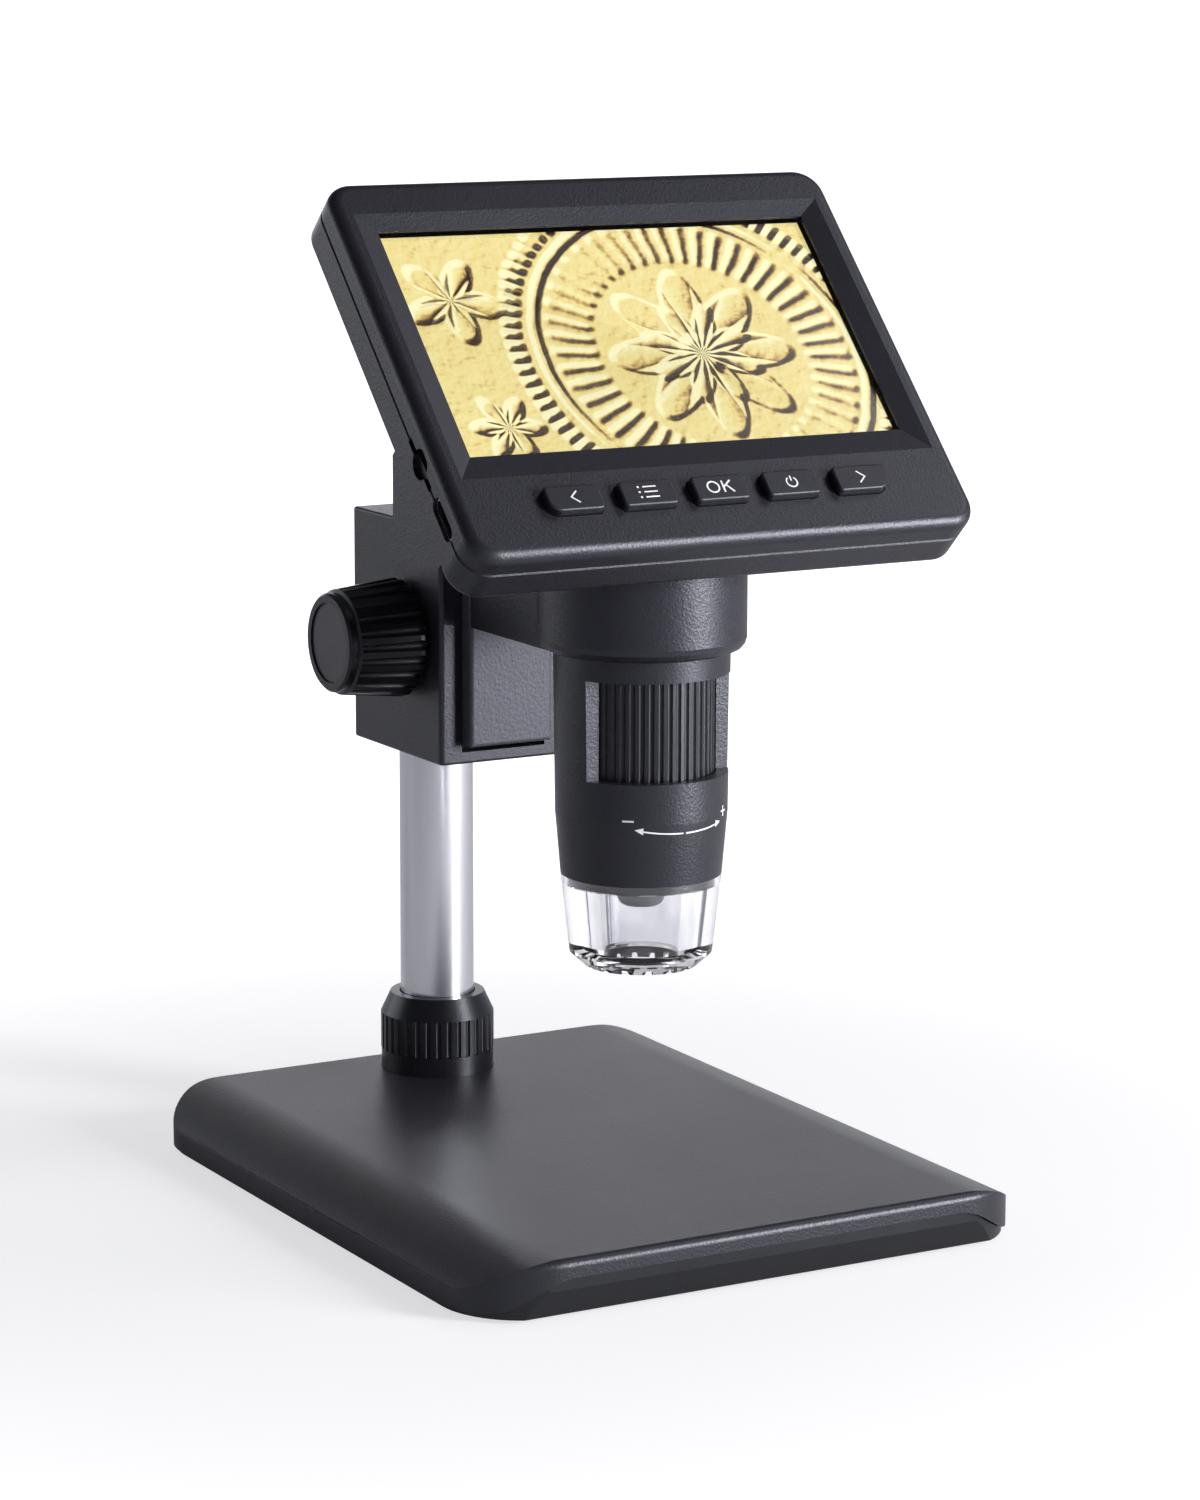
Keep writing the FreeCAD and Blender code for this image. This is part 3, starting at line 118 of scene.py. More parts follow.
grain, g_in, g_out = new_group("moulded_grain", [
    ("Tint", "NodeSocketColor", (0.03, 0.03, 0.033, 1)),
    ("Scale", "NodeSocketFloat", 2600.0),
    ("Sparkle", "NodeSocketFloat", 0.25),
    ("Gloss", "NodeSocketFloat", 0.45),
    ("Smudge", "NodeSocketFloat", 0.08)],
    [("Colour", "NodeSocketColor"), ("Roughness", "NodeSocketFloat"), ("Height", "NodeSocketFloat")])
where = grain.nodes.new("ShaderNodeTexCoord").outputs["Object"]
cells = grain.nodes.new("ShaderNodeTexVoronoi")
cells.feature = "SMOOTH_F1"
grain.links.new(where, cells.inputs["Vector"])
grain.links.new(g_in.outputs["Scale"], cells.inputs["Scale"])
fine = noise(grain, where, times(grain, g_in.outputs["Scale"], 1.7), 3.0, 0.6)
broad = noise(grain, where, 38.0, 4.0, 0.55)
height = add(grain, times(grain, cells.outputs["Distance"], 0.6), times(grain, fine, 0.5))
grain.links.new(height, g_out.inputs["Height"])
# Painted glints: the brightest specks of the fine noise lighten the colour, as if light caught the
# grain.
spark = math_node(grain, "POWER", fine, 3.0)
painted_glints = times(grain, spark, g_in.outputs["Sparkle"])
cloud = math_node(grain, "MULTIPLY_ADD", broad, 0.3, 0.85)
tone = add(grain, cloud, times(grain, painted_glints, 3.0))
shade = grain.nodes.new("ShaderNodeVectorMath")
shade.operation = "SCALE"
grain.links.new(g_in.outputs["Tint"], shade.inputs[0])
grain.links.new(tone, shade.inputs["Scale"])
grain.links.new(shade.outputs[0], g_out.inputs["Colour"])
centred = math_node(grain, "SUBTRACT", broad, 0.5)
smear = times(grain, centred, times(grain, g_in.outputs["Smudge"], 4.0))
grain.links.new(add(grain, g_in.outputs["Gloss"], smear, clamp=True), g_out.inputs["Roughness"])
print("group moulded_grain with", len(grain.nodes), "nodes")

# %% [markdown]
# Real desk tools gather a little dust on faces that look up. A second group mixes a pale dust
# into any colour, by how far the surface faces up and a broken noise.

# %% Shared group: settled dust
dust, d_in, d_out = new_group("settled_dust", [
    ("Colour", "NodeSocketColor", (0.03, 0.03, 0.033, 1)),
    ("Amount", "NodeSocketFloat", 0.02)], [("Colour", "NodeSocketColor")])
spot = dust.nodes.new("ShaderNodeTexCoord").outputs["Object"]
normal = dust.nodes.new("ShaderNodeNewGeometry").outputs["Normal"]
split = dust.nodes.new("ShaderNodeSeparateXYZ")
dust.links.new(normal, split.inputs[0])
up_facing = math_node(dust, "POWER", math_node(dust, "MAXIMUM", split.outputs["Z"], 0.0), 3.0)
flecks = math_node(dust, "GREATER_THAN", noise(dust, spot, 900.0, 5.0, 0.7), 0.66)
veil = noise(dust, spot, 60.0, 3.0)
much = times(dust, up_facing, add(dust, times(dust, flecks, 2.0), veil))
fac = times(dust, much, d_in.outputs["Amount"], clamp=True)
DUST_GREY = (0.55, 0.55, 0.56, 1)
dust.links.new(mix_colour(dust, fac, d_in.outputs["Colour"], DUST_GREY), d_out.inputs["Colour"])
print("group settled_dust ready")

# %% [markdown]
# A material is made by a small function: it places the grain and dust groups, feeds their outputs
# to the Principled shader, and sets every constant on the shader's own sockets.

# %% Helper: a moulded plastic
finishes = {}
GRAIN_DEPTH = 0.0001
COOL_SHINE = (0.86, 0.88, 1, 1)


def blank(name):
    material = bpy.data.materials.new(name)
    material.use_nodes = True
    shader = material.node_tree.nodes["Principled BSDF"]
    finishes[name] = material
    return material, material.node_tree, shader


def place(tree, group, **values):
    node = tree.nodes.new("ShaderNodeGroup")
    node.node_tree = group
    for label, value in values.items():
        if hasattr(value, "node"):
            tree.links.new(value, node.inputs[label])
        else:
            node.inputs[label].default_value = value
    return node


def plastic(name, tint, gloss, scale, bump, painted_sparkle, smudge=0.06, dusty=0.015):
    material, tree, shader = blank(name)
    skin = place(tree, grain, Tint=(*tint, 1), Scale=scale, Sparkle=painted_sparkle, Gloss=gloss, Smudge=smudge)
    veiled = place(tree, dust, Colour=skin.outputs["Colour"], Amount=dusty)
    tree.links.new(veiled.outputs["Colour"], shader.inputs["Base Color"])
    tree.links.new(skin.outputs["Roughness"], shader.inputs["Roughness"])
    relief = tree.nodes.new("ShaderNodeBump")
    relief.inputs["Strength"].default_value = bump
    relief.inputs["Distance"].default_value = GRAIN_DEPTH
    shader.inputs["Specular Tint"].default_value = COOL_SHINE
    tree.links.new(skin.outputs["Height"], relief.inputs["Height"])
    tree.links.new(relief.outputs["Normal"], shader.inputs["Normal"])
    return material


plastic("shell_black", (0.0115, 0.0115, 0.015), 0.38, 2100, 0.6, 0.25, 0.015)
plastic("front_black", (0.0105, 0.0105, 0.0140), 0.38, 2100, 0.6, 0.25, 0.02)
plastic("pan_black", (0.006, 0.006, 0.007), 0.3, 2000, 0.15, 0.1)
plastic("nut_black", (0.004, 0.004, 0.005), 0.30, 2200, 0.25, 0.15)
plastic("carriage_black", (0.014, 0.014, 0.018), 0.36, 2200, 0.5, 0.25, 0.02)
plastic("knob_black", (0.004, 0.004, 0.005), 0.32, 2600, 0.2, 0.1)
plastic("disc_black", (0.036, 0.036, 0.042), 0.42, 2600, 0.4, 0.3)
plastic("collar_black", (0.012, 0.012, 0.016), 0.36, 1900, 0.8, 0.35, 0.02)
plastic("barrel_black", (0.012, 0.012, 0.016), 0.36, 2000, 0.7, 0.3, 0.02)
plastic("key_rubber", (0.008, 0.008, 0.011), 0.42, 3000, 0.4, 0.3)
plastic("ring_black", (0.008, 0.008, 0.010), 0.36, 2600, 0.25, 0.1)
plastic("rubber", (0.012, 0.012, 0.012), 0.8, 1600, 0.6, 0.1)
plastic("chip_black", (0.012, 0.012, 0.012), 0.55, 2600, 0.3, 0.2)
plastic("carrier_grey", (0.20, 0.205, 0.21), 0.4, 2600, 0.2, 0.1)
plastic("battery_wrap", (0.05, 0.12, 0.30), 0.3, 900, 0.1, 0.1)
print("plastics:", sorted(finishes))

# %% [markdown]
# The slider carries a plate with a coarser grain than the rest. It is painted metal, so the same
# grain group is used with larger cells and more of the painted glints that lighten its colour.

# %% Grained paint
plastic("slider_black", (0.032, 0.032, 0.040), 0.50, 1300, 0.9, 1.1, 0.03)
plastic("board_green", (0.012, 0.075, 0.035), 0.35, 1500, 0.2, 0.1)
plastic("board_white", (0.62, 0.62, 0.60), 0.4, 1500, 0.1, 0.05)
print("grained paint and boards ready")

# %% [markdown]
# The post is a satin anodised tube. Metal gets its look from what it reflects, so the base colour
# only says which metal it is; fine lines along the tube come from a noise squeezed sideways.

# %% Metals
def metal(name, tint, gloss, stretch, lines=0.12):
    material, tree, shader = blank(name)
    place_on = tree.nodes.new("ShaderNodeTexCoord").outputs["Object"]
    squeeze = tree.nodes.new("ShaderNodeMapping")
    squeeze.inputs["Scale"].default_value = stretch
    tree.links.new(place_on, squeeze.inputs["Vector"])
    streak = noise(tree, squeeze.outputs["Vector"], 1.0, 4.0, 0.6)
    patch = noise(tree, place_on, 45.0, 3.0)
    rough = add(tree, times(tree, streak, lines), gloss - lines / 2)
    handled = times(tree, math_node(tree, "SUBTRACT", patch, 0.5), 0.08)
    rough = add(tree, rough, handled, clamp=True)
    tree.links.new(rough, shader.inputs["Roughness"])
    dark = tuple(0.86 * c for c in tint)
    tree.links.new(mix_colour(tree, streak, (*dark, 1), (*tint, 1)), shader.inputs["Base Color"])
    relief = tree.nodes.new("ShaderNodeBump")
    relief.inputs["Strength"].default_value = 0.12
    relief.inputs["Distance"].default_value = 0.00003
    tree.links.new(streak, relief.inputs["Height"])
    tree.links.new(relief.outputs["Normal"], shader.inputs["Normal"])
    shader.inputs["Metallic"].default_value = 1.0
    return material


metal("post_aluminium", (0.80, 0.80, 0.86), 0.24, (5000, 5000, 60))
metal("weight_steel", (0.50, 0.50, 0.52), 0.35, (60, 4000, 4000))
metal("screw_steel", (0.58, 0.58, 0.60), 0.28, (3000, 3000, 3000))
metal("socket_steel", (0.62, 0.62, 0.65), 0.25, (60, 3000, 3000))
metal("brass", (0.78, 0.60, 0.28), 0.28, (3000, 60, 3000))
metal("contact_gold", (0.86, 0.66, 0.30), 0.22, (3000, 3000, 3000))
print("metals ready")

# %% [markdown]
# The lamp cap is clear acrylic: it is light passing through and bending, so transmission is 1 and
# the index is that of acrylic. A trace of moulding haze varies its roughness.

# %% Clear parts
def clear(name, tint, index, haze):
    material, tree, shader = blank(name)
    spot = tree.nodes.new("ShaderNodeTexCoord").outputs["Object"]
    mist = noise(tree, spot, 120.0, 3.0)
    tree.links.new(times(tree, mist, haze, clamp=True), shader.inputs["Roughness"])
    tree.links.new(mix_colour(tree, mist, (*tint, 1), (1, 1, 1, 1)), shader.inputs["Base Color"])
    shader.inputs["Transmission Weight"].default_value = 1.0
    shader.inputs["IOR"].default_value = index
    return material


clear("cap_clear", (0.46, 0.46, 0.52), 1.47, 0.05)
clear("lens_glass", (0.80, 0.90, 0.95), 1.52, 0.01)
clear("cover_clear", (0.98, 0.98, 0.98), 1.06, 0.02)
_, tree, shader = blank("lamp")
spot = tree.nodes.new("ShaderNodeTexCoord").outputs["Object"]
glow = noise(tree, spot, 2500.0, 2.0)
phosphor = mix_colour(tree, glow, (0.95, 0.93, 0.80, 1), (1, 1, 0.95, 1))
tree.links.new(phosphor, shader.inputs["Base Color"])
light = mix_colour(tree, glow, (1, 0.98, 0.9, 1), (1, 1, 1, 1))
tree.links.new(light, shader.inputs["Emission Color"])
shader.inputs["Emission Strength"].default_value = 0.5
print("clear parts and lamps ready")

# %% [markdown]
# The screen shows a much enlarged piece of stamped gold: a plain ornament of petals, beads and
# rays. A picture of relief is made by building a height, reading it at two nearby points, and
# turning the difference into light and shade, so a group gives the height and is placed twice.

# %% Shared group: stamped ornament height
ornament, o_in, o_out = new_group(
    "stamped_ornament", [("Place", "NodeSocketVector", (0, 0, 0))], [("Height", "NodeSocketFloat")])


def polar(tree, x, y, cx, cy):
    """Distance from a middle, and the angle round it."""
    dx = math_node(tree, "SUBTRACT", x, cx)
    dy = math_node(tree, "SUBTRACT", y, cy)
    far = math_node(tree, "SQRT", add(tree, times(tree, dx, dx), times(tree, dy, dy)))
    return far, math_node(tree, "ARCTAN2", dy, dx)


def smooth_below(tree, value, edge, soft):
    """1 where the value is under the edge, 0 above it, with a soft step between."""
    node = tree.nodes.new("ShaderNodeMapRange")
    node.interpolation_type = "SMOOTHSTEP"
    tree.links.new(value, node.inputs["Value"])
    if isinstance(edge, (int, float)):
        node.inputs["From Min"].default_value = edge + soft
        node.inputs["From Max"].default_value = edge - soft
    else:
        tree.links.new(add(tree, edge, soft), node.inputs["From Min"])
        tree.links.new(math_node(tree, "SUBTRACT", edge, soft), node.inputs["From Max"])
    return node.outputs[0]


def petals(tree, far, turn, count, length, width, phase=0.0):
    """Height of a ring of pointed petals."""
    wave = math_node(tree, "COSINE", math_node(tree, "MULTIPLY_ADD", turn, float(count), phase))
    swell = math_node(tree, "POWER", math_node(tree, "MULTIPLY_ADD", wave, 0.5, 0.5), 0.7)
    reach = math_node(tree, "MULTIPLY_ADD", swell, width, length - width)
    body = smooth_below(tree, far, reach, 0.0011)
    vein = times(tree, math_node(tree, "POWER", math_node(tree, "ABSOLUTE", wave), 0.6), 0.55)
    return times(tree, body, add(tree, vein, 0.45))


def ripple(tree, turn, count, sharp):
    """Even bumps round a circle."""
    wave = math_node(tree, "SINE", times(tree, turn, count))
    return math_node(tree, "POWER", math_node(tree, "ABSOLUTE", wave), sharp)


def ring_at(tree, far, radius, half, soft):
    """1 on a ring of this radius and half width."""
    off = math_node(tree, "ABSOLUTE", math_node(tree, "SUBTRACT", far, radius))
    return smooth_below(tree, off, half, soft)


warp = ornament.nodes.new("ShaderNodeTexNoise")
warp.inputs["Scale"].default_value = 90.0
ornament.links.new(o_in.outputs["Place"], warp.inputs["Vector"])
shift = ornament.nodes.new("ShaderNodeVectorMath")
shift.operation = "MULTIPLY_ADD"
ornament.links.new(warp.outputs["Color"], shift.inputs[0])
shift.inputs[1].default_value = (0.0014, 0.0014, 0)
ornament.links.new(o_in.outputs["Place"], shift.inputs[2])
apart = ornament.nodes.new("ShaderNodeSeparateXYZ")
ornament.links.new(shift.outputs[0], apart.inputs[0])
px, py = apart.outputs[0], apart.outputs[1]
far, turn = polar(ornament, px, py, 0.013, -0.004)
far_a, turn_a = polar(ornament, px, py, -0.037, 0.012)
far_b, turn_b = polar(ornament, px, py, -0.036, -0.019)
outside = smooth_below(ornament, times(ornament, far, -1.0), -0.0235, 0.001)
inside = smooth_below(ornament, far, 0.033, 0.0008)
rays = times(ornament, ripple(ornament, turn, 24.0, 3.0), 0.4)
beads = times(ornament, ripple(ornament, turn, 44.0, 1.5), 0.9)
layers = [
    times(ornament, petals(ornament, far, turn, 8, 0.0205, 0.0085), 0.6),
    times(ornament, petals(ornament, far, turn, 8, 0.0125, 0.006, math.pi), 0.7),
    times(ornament, smooth_below(ornament, far, 0.0042, 0.0014), 0.8),
    times(ornament, rays, times(ornament, outside, inside)),
    times(ornament, ring_at(ornament, far, 0.0355, 0.0009, 0.0006), 0.7),
    times(ornament, beads, ring_at(ornament, far, 0.0405, 0.0017, 0.0010)),
    times(ornament, petals(ornament, far_a, turn_a, 5, 0.0105, 0.0058, 1.2), 0.8),
    times(ornament, petals(ornament, far_b, turn_b, 6, 0.0075, 0.004, 0.4), 0.8),
    times(ornament, noise(ornament, o_in.outputs["Place"], 520.0, 5.0, 0.62), 0.22),
    times(ornament, noise(ornament, o_in.outputs["Place"], 150.0, 3.0, 0.5), 0.35)]
height = layers[0]
for layer in layers[1:]:
    height = add(ornament, height, layer)
ornament.links.new(height, o_out.inputs["Height"])
print("ornament height from", len(ornament.nodes), "nodes")

# %% [markdown]
# The picture's own plane is x across and the distance up the tilted screen. The ornament is read
# at a point and a little beside it; the difference is the slope, and a ramp turns it into gold.

# %% Screen picture
LIT_HALF_X, LIT_HALF_Y = 0.0475, 0.0269
UNLIT = (0.002, 0.002, 0.002, 1)
_, tree, shader = blank("screen")
spot = tree.nodes.new("ShaderNodeTexCoord").outputs["Object"]
relative = tree.nodes.new("ShaderNodeVectorMath")
relative.operation = "SUBTRACT"
tree.links.new(spot, relative.inputs[0])
relative.inputs[1].default_value = SCREEN_MIDDLE
along = tree.nodes.new("ShaderNodeVectorMath")
along.operation = "DOT_PRODUCT"
tree.links.new(relative.outputs[0], along.inputs[0])
along.inputs[1].default_value = (0, math.cos(TILT), math.sin(TILT))
parts = tree.nodes.new("ShaderNodeSeparateXYZ")
tree.links.new(relative.outputs[0], parts.inputs[0])
flat = tree.nodes.new("ShaderNodeCombineXYZ")
tree.links.new(parts.outputs["X"], flat.inputs["X"])
tree.links.new(along.outputs["Value"], flat.inputs["Y"])
beside = tree.nodes.new("ShaderNodeVectorMath")
beside.operation = "ADD"
tree.links.new(flat.outputs[0], beside.inputs[0])
beside.inputs[1].default_value = (-0.00045, 0.00055, 0)
here = place(tree, ornament, Place=flat.outputs[0])
there = place(tree, ornament, Place=beside.outputs[0])
slope = math_node(tree, "SUBTRACT", here.outputs["Height"], there.outputs["Height"])
light = math_node(tree, "MULTIPLY_ADD", slope, 3.0, 0.64, clamp=True)
gold = tree.nodes.new("ShaderNodeValToRGB")
stops = [(0.0, (0.016, 0.004, 0.001)), (0.18, (0.10, 0.04, 0.008)), (0.38, (0.54, 0.33, 0.09)),
         (0.56, (0.84, 0.69, 0.25)), (0.85, (0.90, 0.81, 0.38)), (1.0, (0.97, 0.92, 0.56))]
while len(gold.color_ramp.elements) < len(stops):
    gold.color_ramp.elements.new(0.5)
for element, (at, colour) in zip(gold.color_ramp.elements, stops):
    element.position = at
    element.color = (*colour, 1)
tree.links.new(light, gold.inputs["Fac"])
edge_x = math_node(tree, "LESS_THAN", math_node(tree, "ABSOLUTE", parts.outputs["X"]), LIT_HALF_X)
edge_y = math_node(tree, "LESS_THAN", math_node(tree, "ABSOLUTE", along.outputs["Value"]), LIT_HALF_Y)
lit = times(tree, edge_x, edge_y)
shown = mix_colour(tree, lit, UNLIT, gold.outputs["Color"])
tree.links.new(shown, shader.inputs["Emission Color"])
under = mix_colour(tree, lit, UNLIT, (0.01, 0.008, 0.004, 1))
tree.links.new(under, shader.inputs["Base Color"])
glaze = math_node(tree, "MULTIPLY_ADD", here.outputs["Height"], 0.02, 0.2)
tree.links.new(glaze, shader.inputs["Roughness"])
shader.inputs["Emission Strength"].default_value = 1.0
print("screen picture ready")

# %% [markdown]
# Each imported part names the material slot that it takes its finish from. The lesson's finishes
# have the same names, so one loop dresses the whole frame.

# %% Dress the frame
slots = {row["node"]: row["material_slot"] for row in frame["record"]["subparts"]}
for name, part in nodes.items():
    part.data.materials.clear()
    part.data.materials.append(finishes[slots[name]])
print("dressed", len(slots), "parts")

# %% [markdown]
# Printed marks are thin ribbons. A stroke is a line of points with a width; it is built as a strip
# with a little thickness, either flat on a key or wrapped round the barrel.

# %% Helper: printed strokes
_, tree, shader = blank("print_white")
spot = tree.nodes.new("ShaderNodeTexCoord").outputs["Object"]
ink = noise(tree, spot, 3500.0, 3.0)
paint = mix_colour(tree, ink, (0.70, 0.70, 0.72, 1), (0.86, 0.86, 0.88, 1))
tree.links.new(paint, shader.inputs["Base Color"])
tree.links.new(math_node(tree, "MULTIPLY_ADD", ink, 0.2, 0.35), shader.inputs["Roughness"])


def strip(mesh, points, width, closed=False):
    """Adds a ribbon of quads along flat points (x, y), with a top and sides."""
    count = len(points)
    rims = []
    for i in range(count):
        here = Vector(points[i])
        before = Vector(points[i - 1]) if (i or closed) else here
        after = Vector(points[(i + 1) % count]) if (i < count - 1 or closed) else here
        way = (after - here).normalized() + (here - before).normalized()
        way = way.normalized() if way.length > 1e-9 else (after - before).normalized()
        one = (after - here if i < count - 1 or closed else here - before).normalized()
        side = Vector((-way.y, way.x))
        reach = width / 2 / max(0.4, side.dot(Vector((-one.y, one.x))))
        rims.append([(here + side * reach), (here - side * reach)])
    verts = [[mesh.verts.new((p.x, p.y, z)) for z in (0.0, 1.0) for p in pair] for pair in rims]
    for i in range(count if closed else count - 1):
        a, b = verts[i], verts[(i + 1) % count]
        for p, q in ((2, 3), (0, 2), (3, 1), (1, 0)):
            mesh.faces.new((a[p], b[p], b[q], a[q]))
    if not closed:
        mesh.faces.new((verts[0][0], verts[0][2], verts[0][3], verts[0][1]))
        mesh.faces.new((verts[-1][1], verts[-1][3], verts[-1][2], verts[-1][0]))


def solid(mesh, points):
    """Adds a filled outline, such as an arrow head, with sides."""
    low = [mesh.verts.new((x, y, 0.0)) for x, y in points]
    high = [mesh.verts.new((x, y, 1.0)) for x, y in points]
    mesh.faces.new(high)
    mesh.faces.new(low[::-1])
    for i in range(len(points)):
        j = (i + 1) % len(points)
        mesh.faces.new((low[i], low[j], high[j], high[i]))


def printed(name, strokes, spot_of, body, material="print_white", heads=()):
    """Builds strokes as one piece; spot_of turns flat (x, y, 0 or 1) into the row frame."""
    mesh = bmesh.new()
    for points, width, closed in strokes:
        strip(mesh, points, width, closed)
    for points in heads:
        solid(mesh, points)
    for v in mesh.verts:
        v.co = spot_of(v.co.x, v.co.y, v.co.z)
    bmesh.ops.recalc_face_normals(mesh, faces=mesh.faces)
    data = bpy.data.meshes.new(name)
    mesh.to_mesh(data)
    mesh.free()
    piece = bpy.data.objects.new(name, data)
    bpy.context.collection.objects.link(piece)
    data.materials.append(finishes[material])
    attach(piece, body)
    return piece


def arc(cx, cy, radius, start, end, steps):
    """Points on an arc, from one angle to another, in degrees."""
    turns = [math.radians(start + (end - start) * i / steps) for i in range(steps + 1)]
    return [(cx + radius * math.cos(a), cy + radius * math.sin(a)) for a in turns]


print("stroke helpers ready")

# %% [markdown]
# The keys carry plain signs: back, list, OK, power and next. They are drawn in millimetres round
# each key's middle and set on the key's top face.

# %% Key signs
KEY_LINE = -0.0403
KEY_TOP = 0.0031
KEY_PITCH = 0.0159
MM = 0.001
PEN = 0.28
THICK_PEN = 0.34
ROWS = (1.2, 0.0, -1.2)


def on_key(index):
    x0 = KEY_PITCH * (index - 2)

    def spot_of(x, y, z):
        height = KEY_TOP - 0.00002 + z * 0.00006
        return screen_frame @ Vector((x0 + x * MM, KEY_LINE + y * MM, height))
    return spot_of


def dot(x, y):
    return ([(x - 0.2, y), (x + 0.2, y)], 0.4, False)


signs = {
    "back": [([(0.75, 1.35), (-0.75, 0.0), (0.75, -1.35)], PEN, False)],
    "menu": [([(-0.9, y), (2.0, y)], PEN, False) for y in ROWS] + [dot(-1.9, y) for y in ROWS],
    "ok": [(arc(-1.65, 0, 1.25, 0, 360, 32)[:-1], THICK_PEN, True),
           ([(0.55, 1.35), (0.55, -1.35)], THICK_PEN, False),
           ([(2.45, 1.35), (0.62, -0.15)], THICK_PEN, False),
           ([(1.25, 0.35), (2.6, -1.35)], THICK_PEN, False)],
    "power": [(arc(0, -0.1, 1.15, 125, 415, 28), PEN, False), ([(0, 0.15), (0, 1.35)], PEN, False)],
    "next": [([(-0.75, 1.35), (0.75, 0.0), (-0.75, -1.35)], PEN, False)]}
for index, (word, strokes) in enumerate(signs.items()):
    printed("sign_" + word, strokes, on_key(index), "key_" + word + "_cap")
print("signs on", len(signs), "keys")

# %% [markdown]
# The barrel carries a minus, a plus and a double arrow that show which way to turn the focus ring.
# The strokes are drawn on an unrolled surface, in millimetres along the arc, and wrapped round.

# %% Focus marks
BARREL = Vector((0, -0.0262, 0))
MARK_Z = 0.0831


TAPER_LOW, TAPER_HIGH = 0.0723, 0.085
RADIUS_LOW, RADIUS_HIGH = 0.0161, 0.0172


def barrel_radius(z):
    """The barrel tapers towards its lower end."""
    share = min(1.0, max(0.0, (z - TAPER_LOW) / (TAPER_HIGH - TAPER_LOW)))
    return RADIUS_LOW + share * (RADIUS_HIGH - RADIUS_LOW)


def on_barrel(x, y, z):
    level = MARK_Z + y * MM
    radius = barrel_radius(level) - 0.00003 + z * 0.00008
    angle = x * MM / 0.017
    return BARREL + Vector((radius * math.sin(angle), -radius * math.cos(angle), level))


def bow(x0, x1, steps=18):
    """A line that rises towards the ends."""
    spots = [x0 + (x1 - x0) * i / steps for i in range(steps + 1)]
    return [(x, 0.95 * (x / 10.2) ** 2) for x in spots]


marks = [(bow(-8.6, -0.3), 0.3, False), (bow(0.3, 8.6), 0.3, False),
         ([(-12.6, 2.7), (-10.35, 2.7)], 0.34, False), ([(10.6, 2.8), (12.6, 2.8)], 0.32, False),
         ([(11.6, 3.85), (11.6, 1.75)], 0.32, False)]
heads = [[(-10.2, 0.98), (-8.45, 1.4), (-8.55, 0.0)], [(10.2, 0.98), (8.45, 1.4), (8.55, 0.0)]]
printed("focus_marks", marks, on_barrel, "head", heads=heads)
print("focus marks at", MARK_Z)

# %% [markdown]
# The socket on the left side shows a row of small gold contacts on its tongue.

# %% Socket contacts
TONGUE = Vector((-0.0547, -0.0382, -0.0043 + 0.00034))


def on_tongue(x, y, z):
    spot = Vector((x * MM, y * MM, z * 0.00005))
    return screen_frame @ (TONGUE + spot)


contacts = [([(0.3, -2.75 + 0.5 * i), (2.6, -2.75 + 0.5 * i)], 0.25, False) for i in range(12)]
printed("usb_contacts", contacts, on_tongue, "head", "contact_gold")
print("contacts laid")

# %% [markdown]
# The camera stands where the photograph was taken from: its place, turn and lens were solved from
# the straight edges of the screen, the barrel's circles and the post.

# %% Camera
azimuth, pitch, roll = (math.radians(angle) for angle in (-29.49, 10.75, 0.14))
CAMERA_PLACE = Vector((-0.43261, -0.77442, 0.26089))
FOCAL_PIXELS, PICTURE_HEIGHT, SENSOR = 4431.9, 1500, 36
level = math.cos(pitch)
forward = Vector((-math.sin(azimuth) * level, math.cos(azimuth) * level, -math.sin(pitch)))
level_right = forward.cross(Vector((0, 0, 1))).normalized()
level_up = level_right.cross(forward)
right = math.cos(roll) * level_right + math.sin(roll) * level_up
up = -math.sin(roll) * level_right + math.cos(roll) * level_up
lens = bpy.data.cameras.new("camera")
lens.lens = FOCAL_PIXELS / PICTURE_HEIGHT * SENSOR
lens.clip_start = 0.05
camera = bpy.data.objects.new("camera", lens)
bpy.context.collection.objects.link(camera)
turn_matrix = Matrix((right, up, -forward)).transposed()
camera.matrix_world = Matrix.Translation(CAMERA_PLACE) @ turn_matrix.to_4x4()
bpy.context.scene.camera = camera
print("lens", round(lens.lens, 1), "mm")

# %% [markdown]
# The studio is a white floor and a white world. To the camera, and through clear parts, the world
# is white and the floor glows more with distance, which leaves the shadow beside the base. Other
# rays get a dimmer, cooler sky that is brightest near the horizon, so black plastic stays black.

# %% Floor and world
FLOOR_HALF, FLOOR_Z = 12, -0.00002
corners = [(FLOOR_HALF * x, FLOOR_HALF * y, FLOOR_Z) for x, y in ((-1, -1), (1, -1), (1, 1), (-1, 1))]


def fading(tree, value, start, end, low, high):
    """Runs smoothly from low to high while the value runs from start to end."""
    node = tree.nodes.new("ShaderNodeMapRange")
    node.interpolation_type = "SMOOTHSTEP"
    for label, number in (("From Min", start), ("From Max", end), ("To Min", low), ("To Max", high)):
        node.inputs[label].default_value = number
    tree.links.new(value, node.inputs["Value"])
    return node.outputs[0]


def seen_ray(tree):
    """1 for rays from the camera and rays through clear parts."""
    path = tree.nodes.new("ShaderNodeLightPath")
    return math_node(tree, "MAXIMUM", path.outputs["Is Camera Ray"], path.outputs["Is Transmission Ray"])


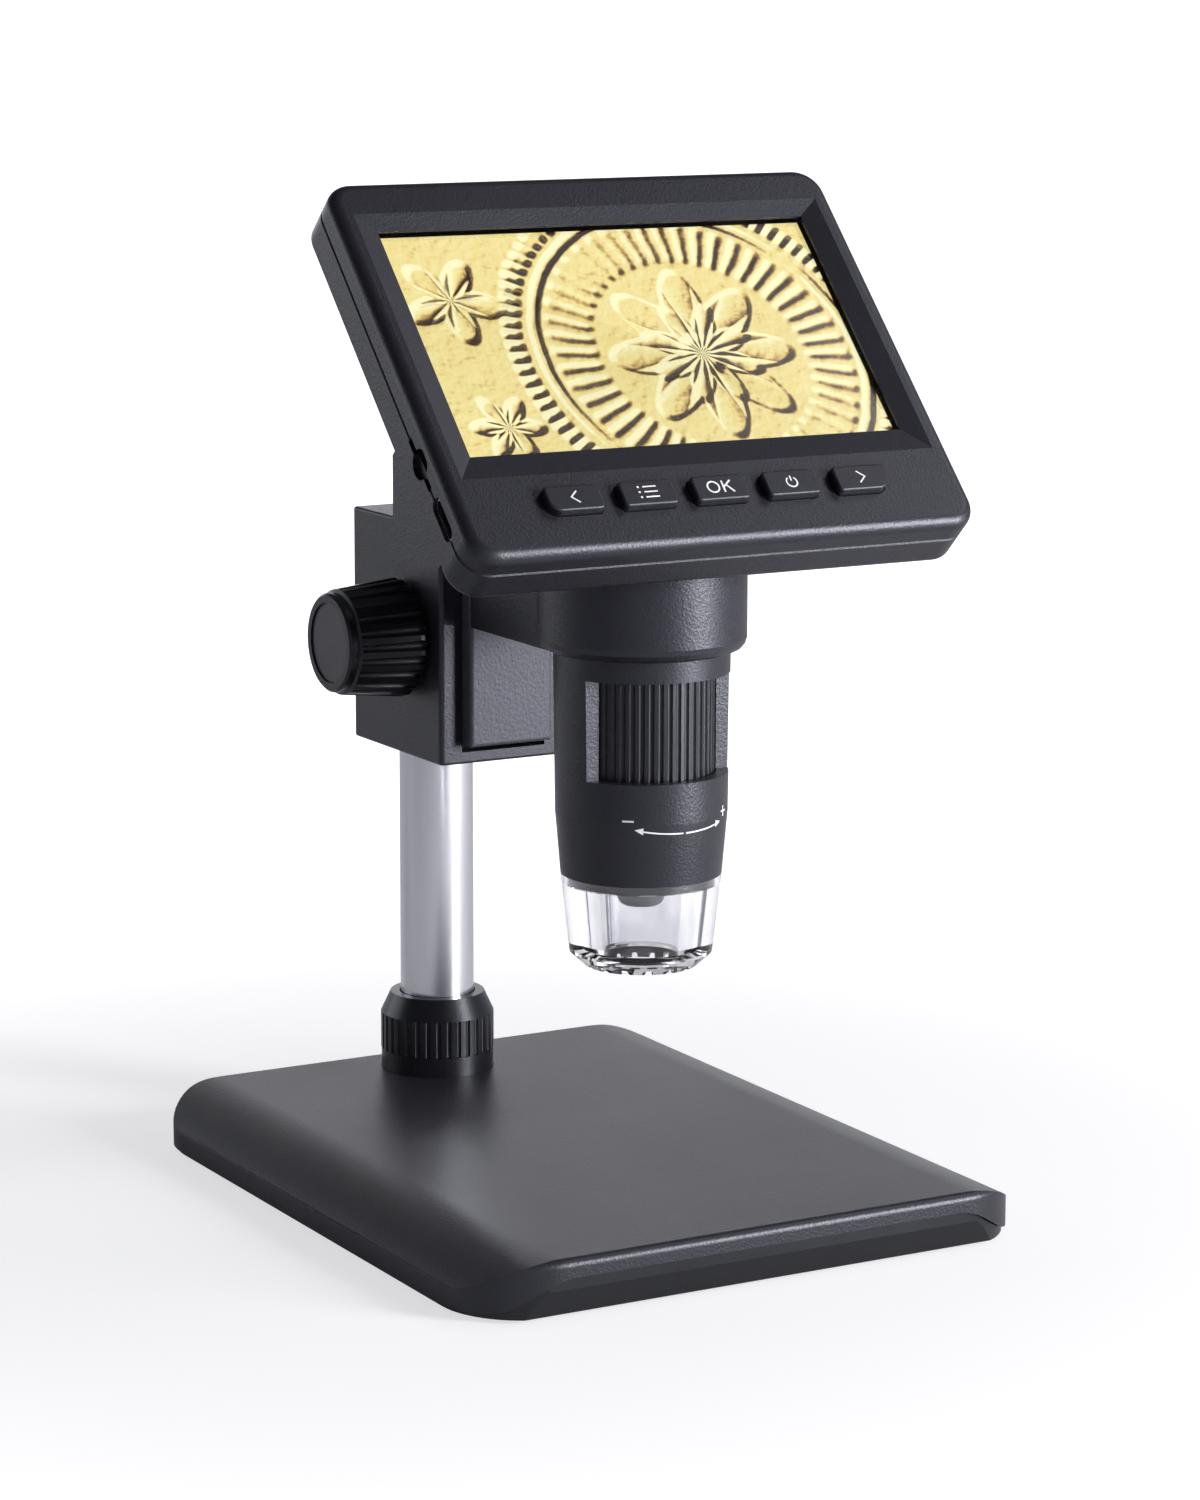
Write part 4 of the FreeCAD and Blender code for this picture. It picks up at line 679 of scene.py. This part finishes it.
floor_mesh = bpy.data.meshes.new("studio_floor")
floor_mesh.from_pydata(corners, [], [(0, 1, 2, 3)])
floor = bpy.data.objects.new("studio_floor", floor_mesh)
bpy.context.collection.objects.link(floor)
paper, tree, shader = blank("paper")
out = tree.nodes["Material Output"]
shader.inputs["Base Color"].default_value = (0.9, 0.9, 0.91, 1)
shader.inputs["Roughness"].default_value = 0.9
glow = tree.nodes.new("ShaderNodeEmission")
glow.inputs["Color"].default_value = (0.985, 0.985, 1, 1)
where = tree.nodes.new("ShaderNodeTexCoord").outputs["Object"]
away = tree.nodes.new("ShaderNodeVectorMath")
away.operation = "LENGTH"
tree.links.new(where, away.inputs[0])
tree.links.new(fading(tree, away.outputs["Value"], 0.10, 0.50, 1.32, 2.6), glow.inputs["Strength"])
blend = tree.nodes.new("ShaderNodeMixShader")
tree.links.new(times(tree, seen_ray(tree), 0.5), blend.inputs[0])
tree.links.new(shader.outputs[0], blend.inputs[1])
tree.links.new(glow.outputs[0], blend.inputs[2])
tree.links.new(blend.outputs[0], out.inputs["Surface"])
floor_mesh.materials.append(paper)

world = bpy.data.worlds.new("studio")
bpy.context.scene.world = world
world.use_nodes = True
sky = world.node_tree
air = sky.nodes["Background"]
seen = seen_ray(sky)
heading = sky.nodes.new("ShaderNodeTexCoord").outputs["Generated"]
rise = sky.nodes.new("ShaderNodeSeparateXYZ")
sky.links.new(heading, rise.inputs[0])
dome = fading(sky, rise.outputs["Z"], 0.15, 0.46, 0.52, 0.09)
hidden = math_node(sky, "SUBTRACT", 1.0, seen)
sky.links.new(add(sky, seen, times(sky, hidden, dome)), air.inputs["Strength"])
shade = mix_colour(sky, seen, (0.84, 0.86, 1, 1), (1, 1, 1, 1))
sky.links.new(shade, air.inputs["Color"])
print("studio ready")

# %% [markdown]
# Four soft boxes shape the black plastic: a tall one in front to the right that draws the long
# highlight on the barrel, a small one above, a low one behind on the left for the walls that face
# left, and a wide low one behind for the sheen on the base.

# %% Lamps
def soft_box(name, place_at, look_at, width, height, power):
    data = bpy.data.lights.new(name, "AREA")
    data.shape = "RECTANGLE"
    data.size = width
    data.size_y = height
    data.energy = power
    lamp_object = bpy.data.objects.new(name, data)
    bpy.context.collection.objects.link(lamp_object)
    lamp_object.location = place_at
    lamp_object.rotation_euler = (Vector(look_at) - Vector(place_at)).to_track_quat("-Z", "Y").to_euler()
    return lamp_object


soft_box("key_light", (0.76, -1.01, 0.32), (0, -0.02, 0.12), 0.36, 0.60, 27)
soft_box("top_light", (0.70, -0.20, 0.85), (0, 0, 0.10), 0.40, 0.40, 1.4)
soft_box("side_light", (-0.75, 0.85, 0.30), (0, 0, 0.10), 0.8, 0.5, 1.8)
soft_box("back_light", (0.50, 1.15, 0.27), (0, 0, 0.02), 1.7, 0.30, 2.2)
bpy.context.scene.view_settings.view_transform = "Standard"
print("lamps ready")

# %% [markdown]
# The last cell prints a closing line.

# %% End
print("scene built")
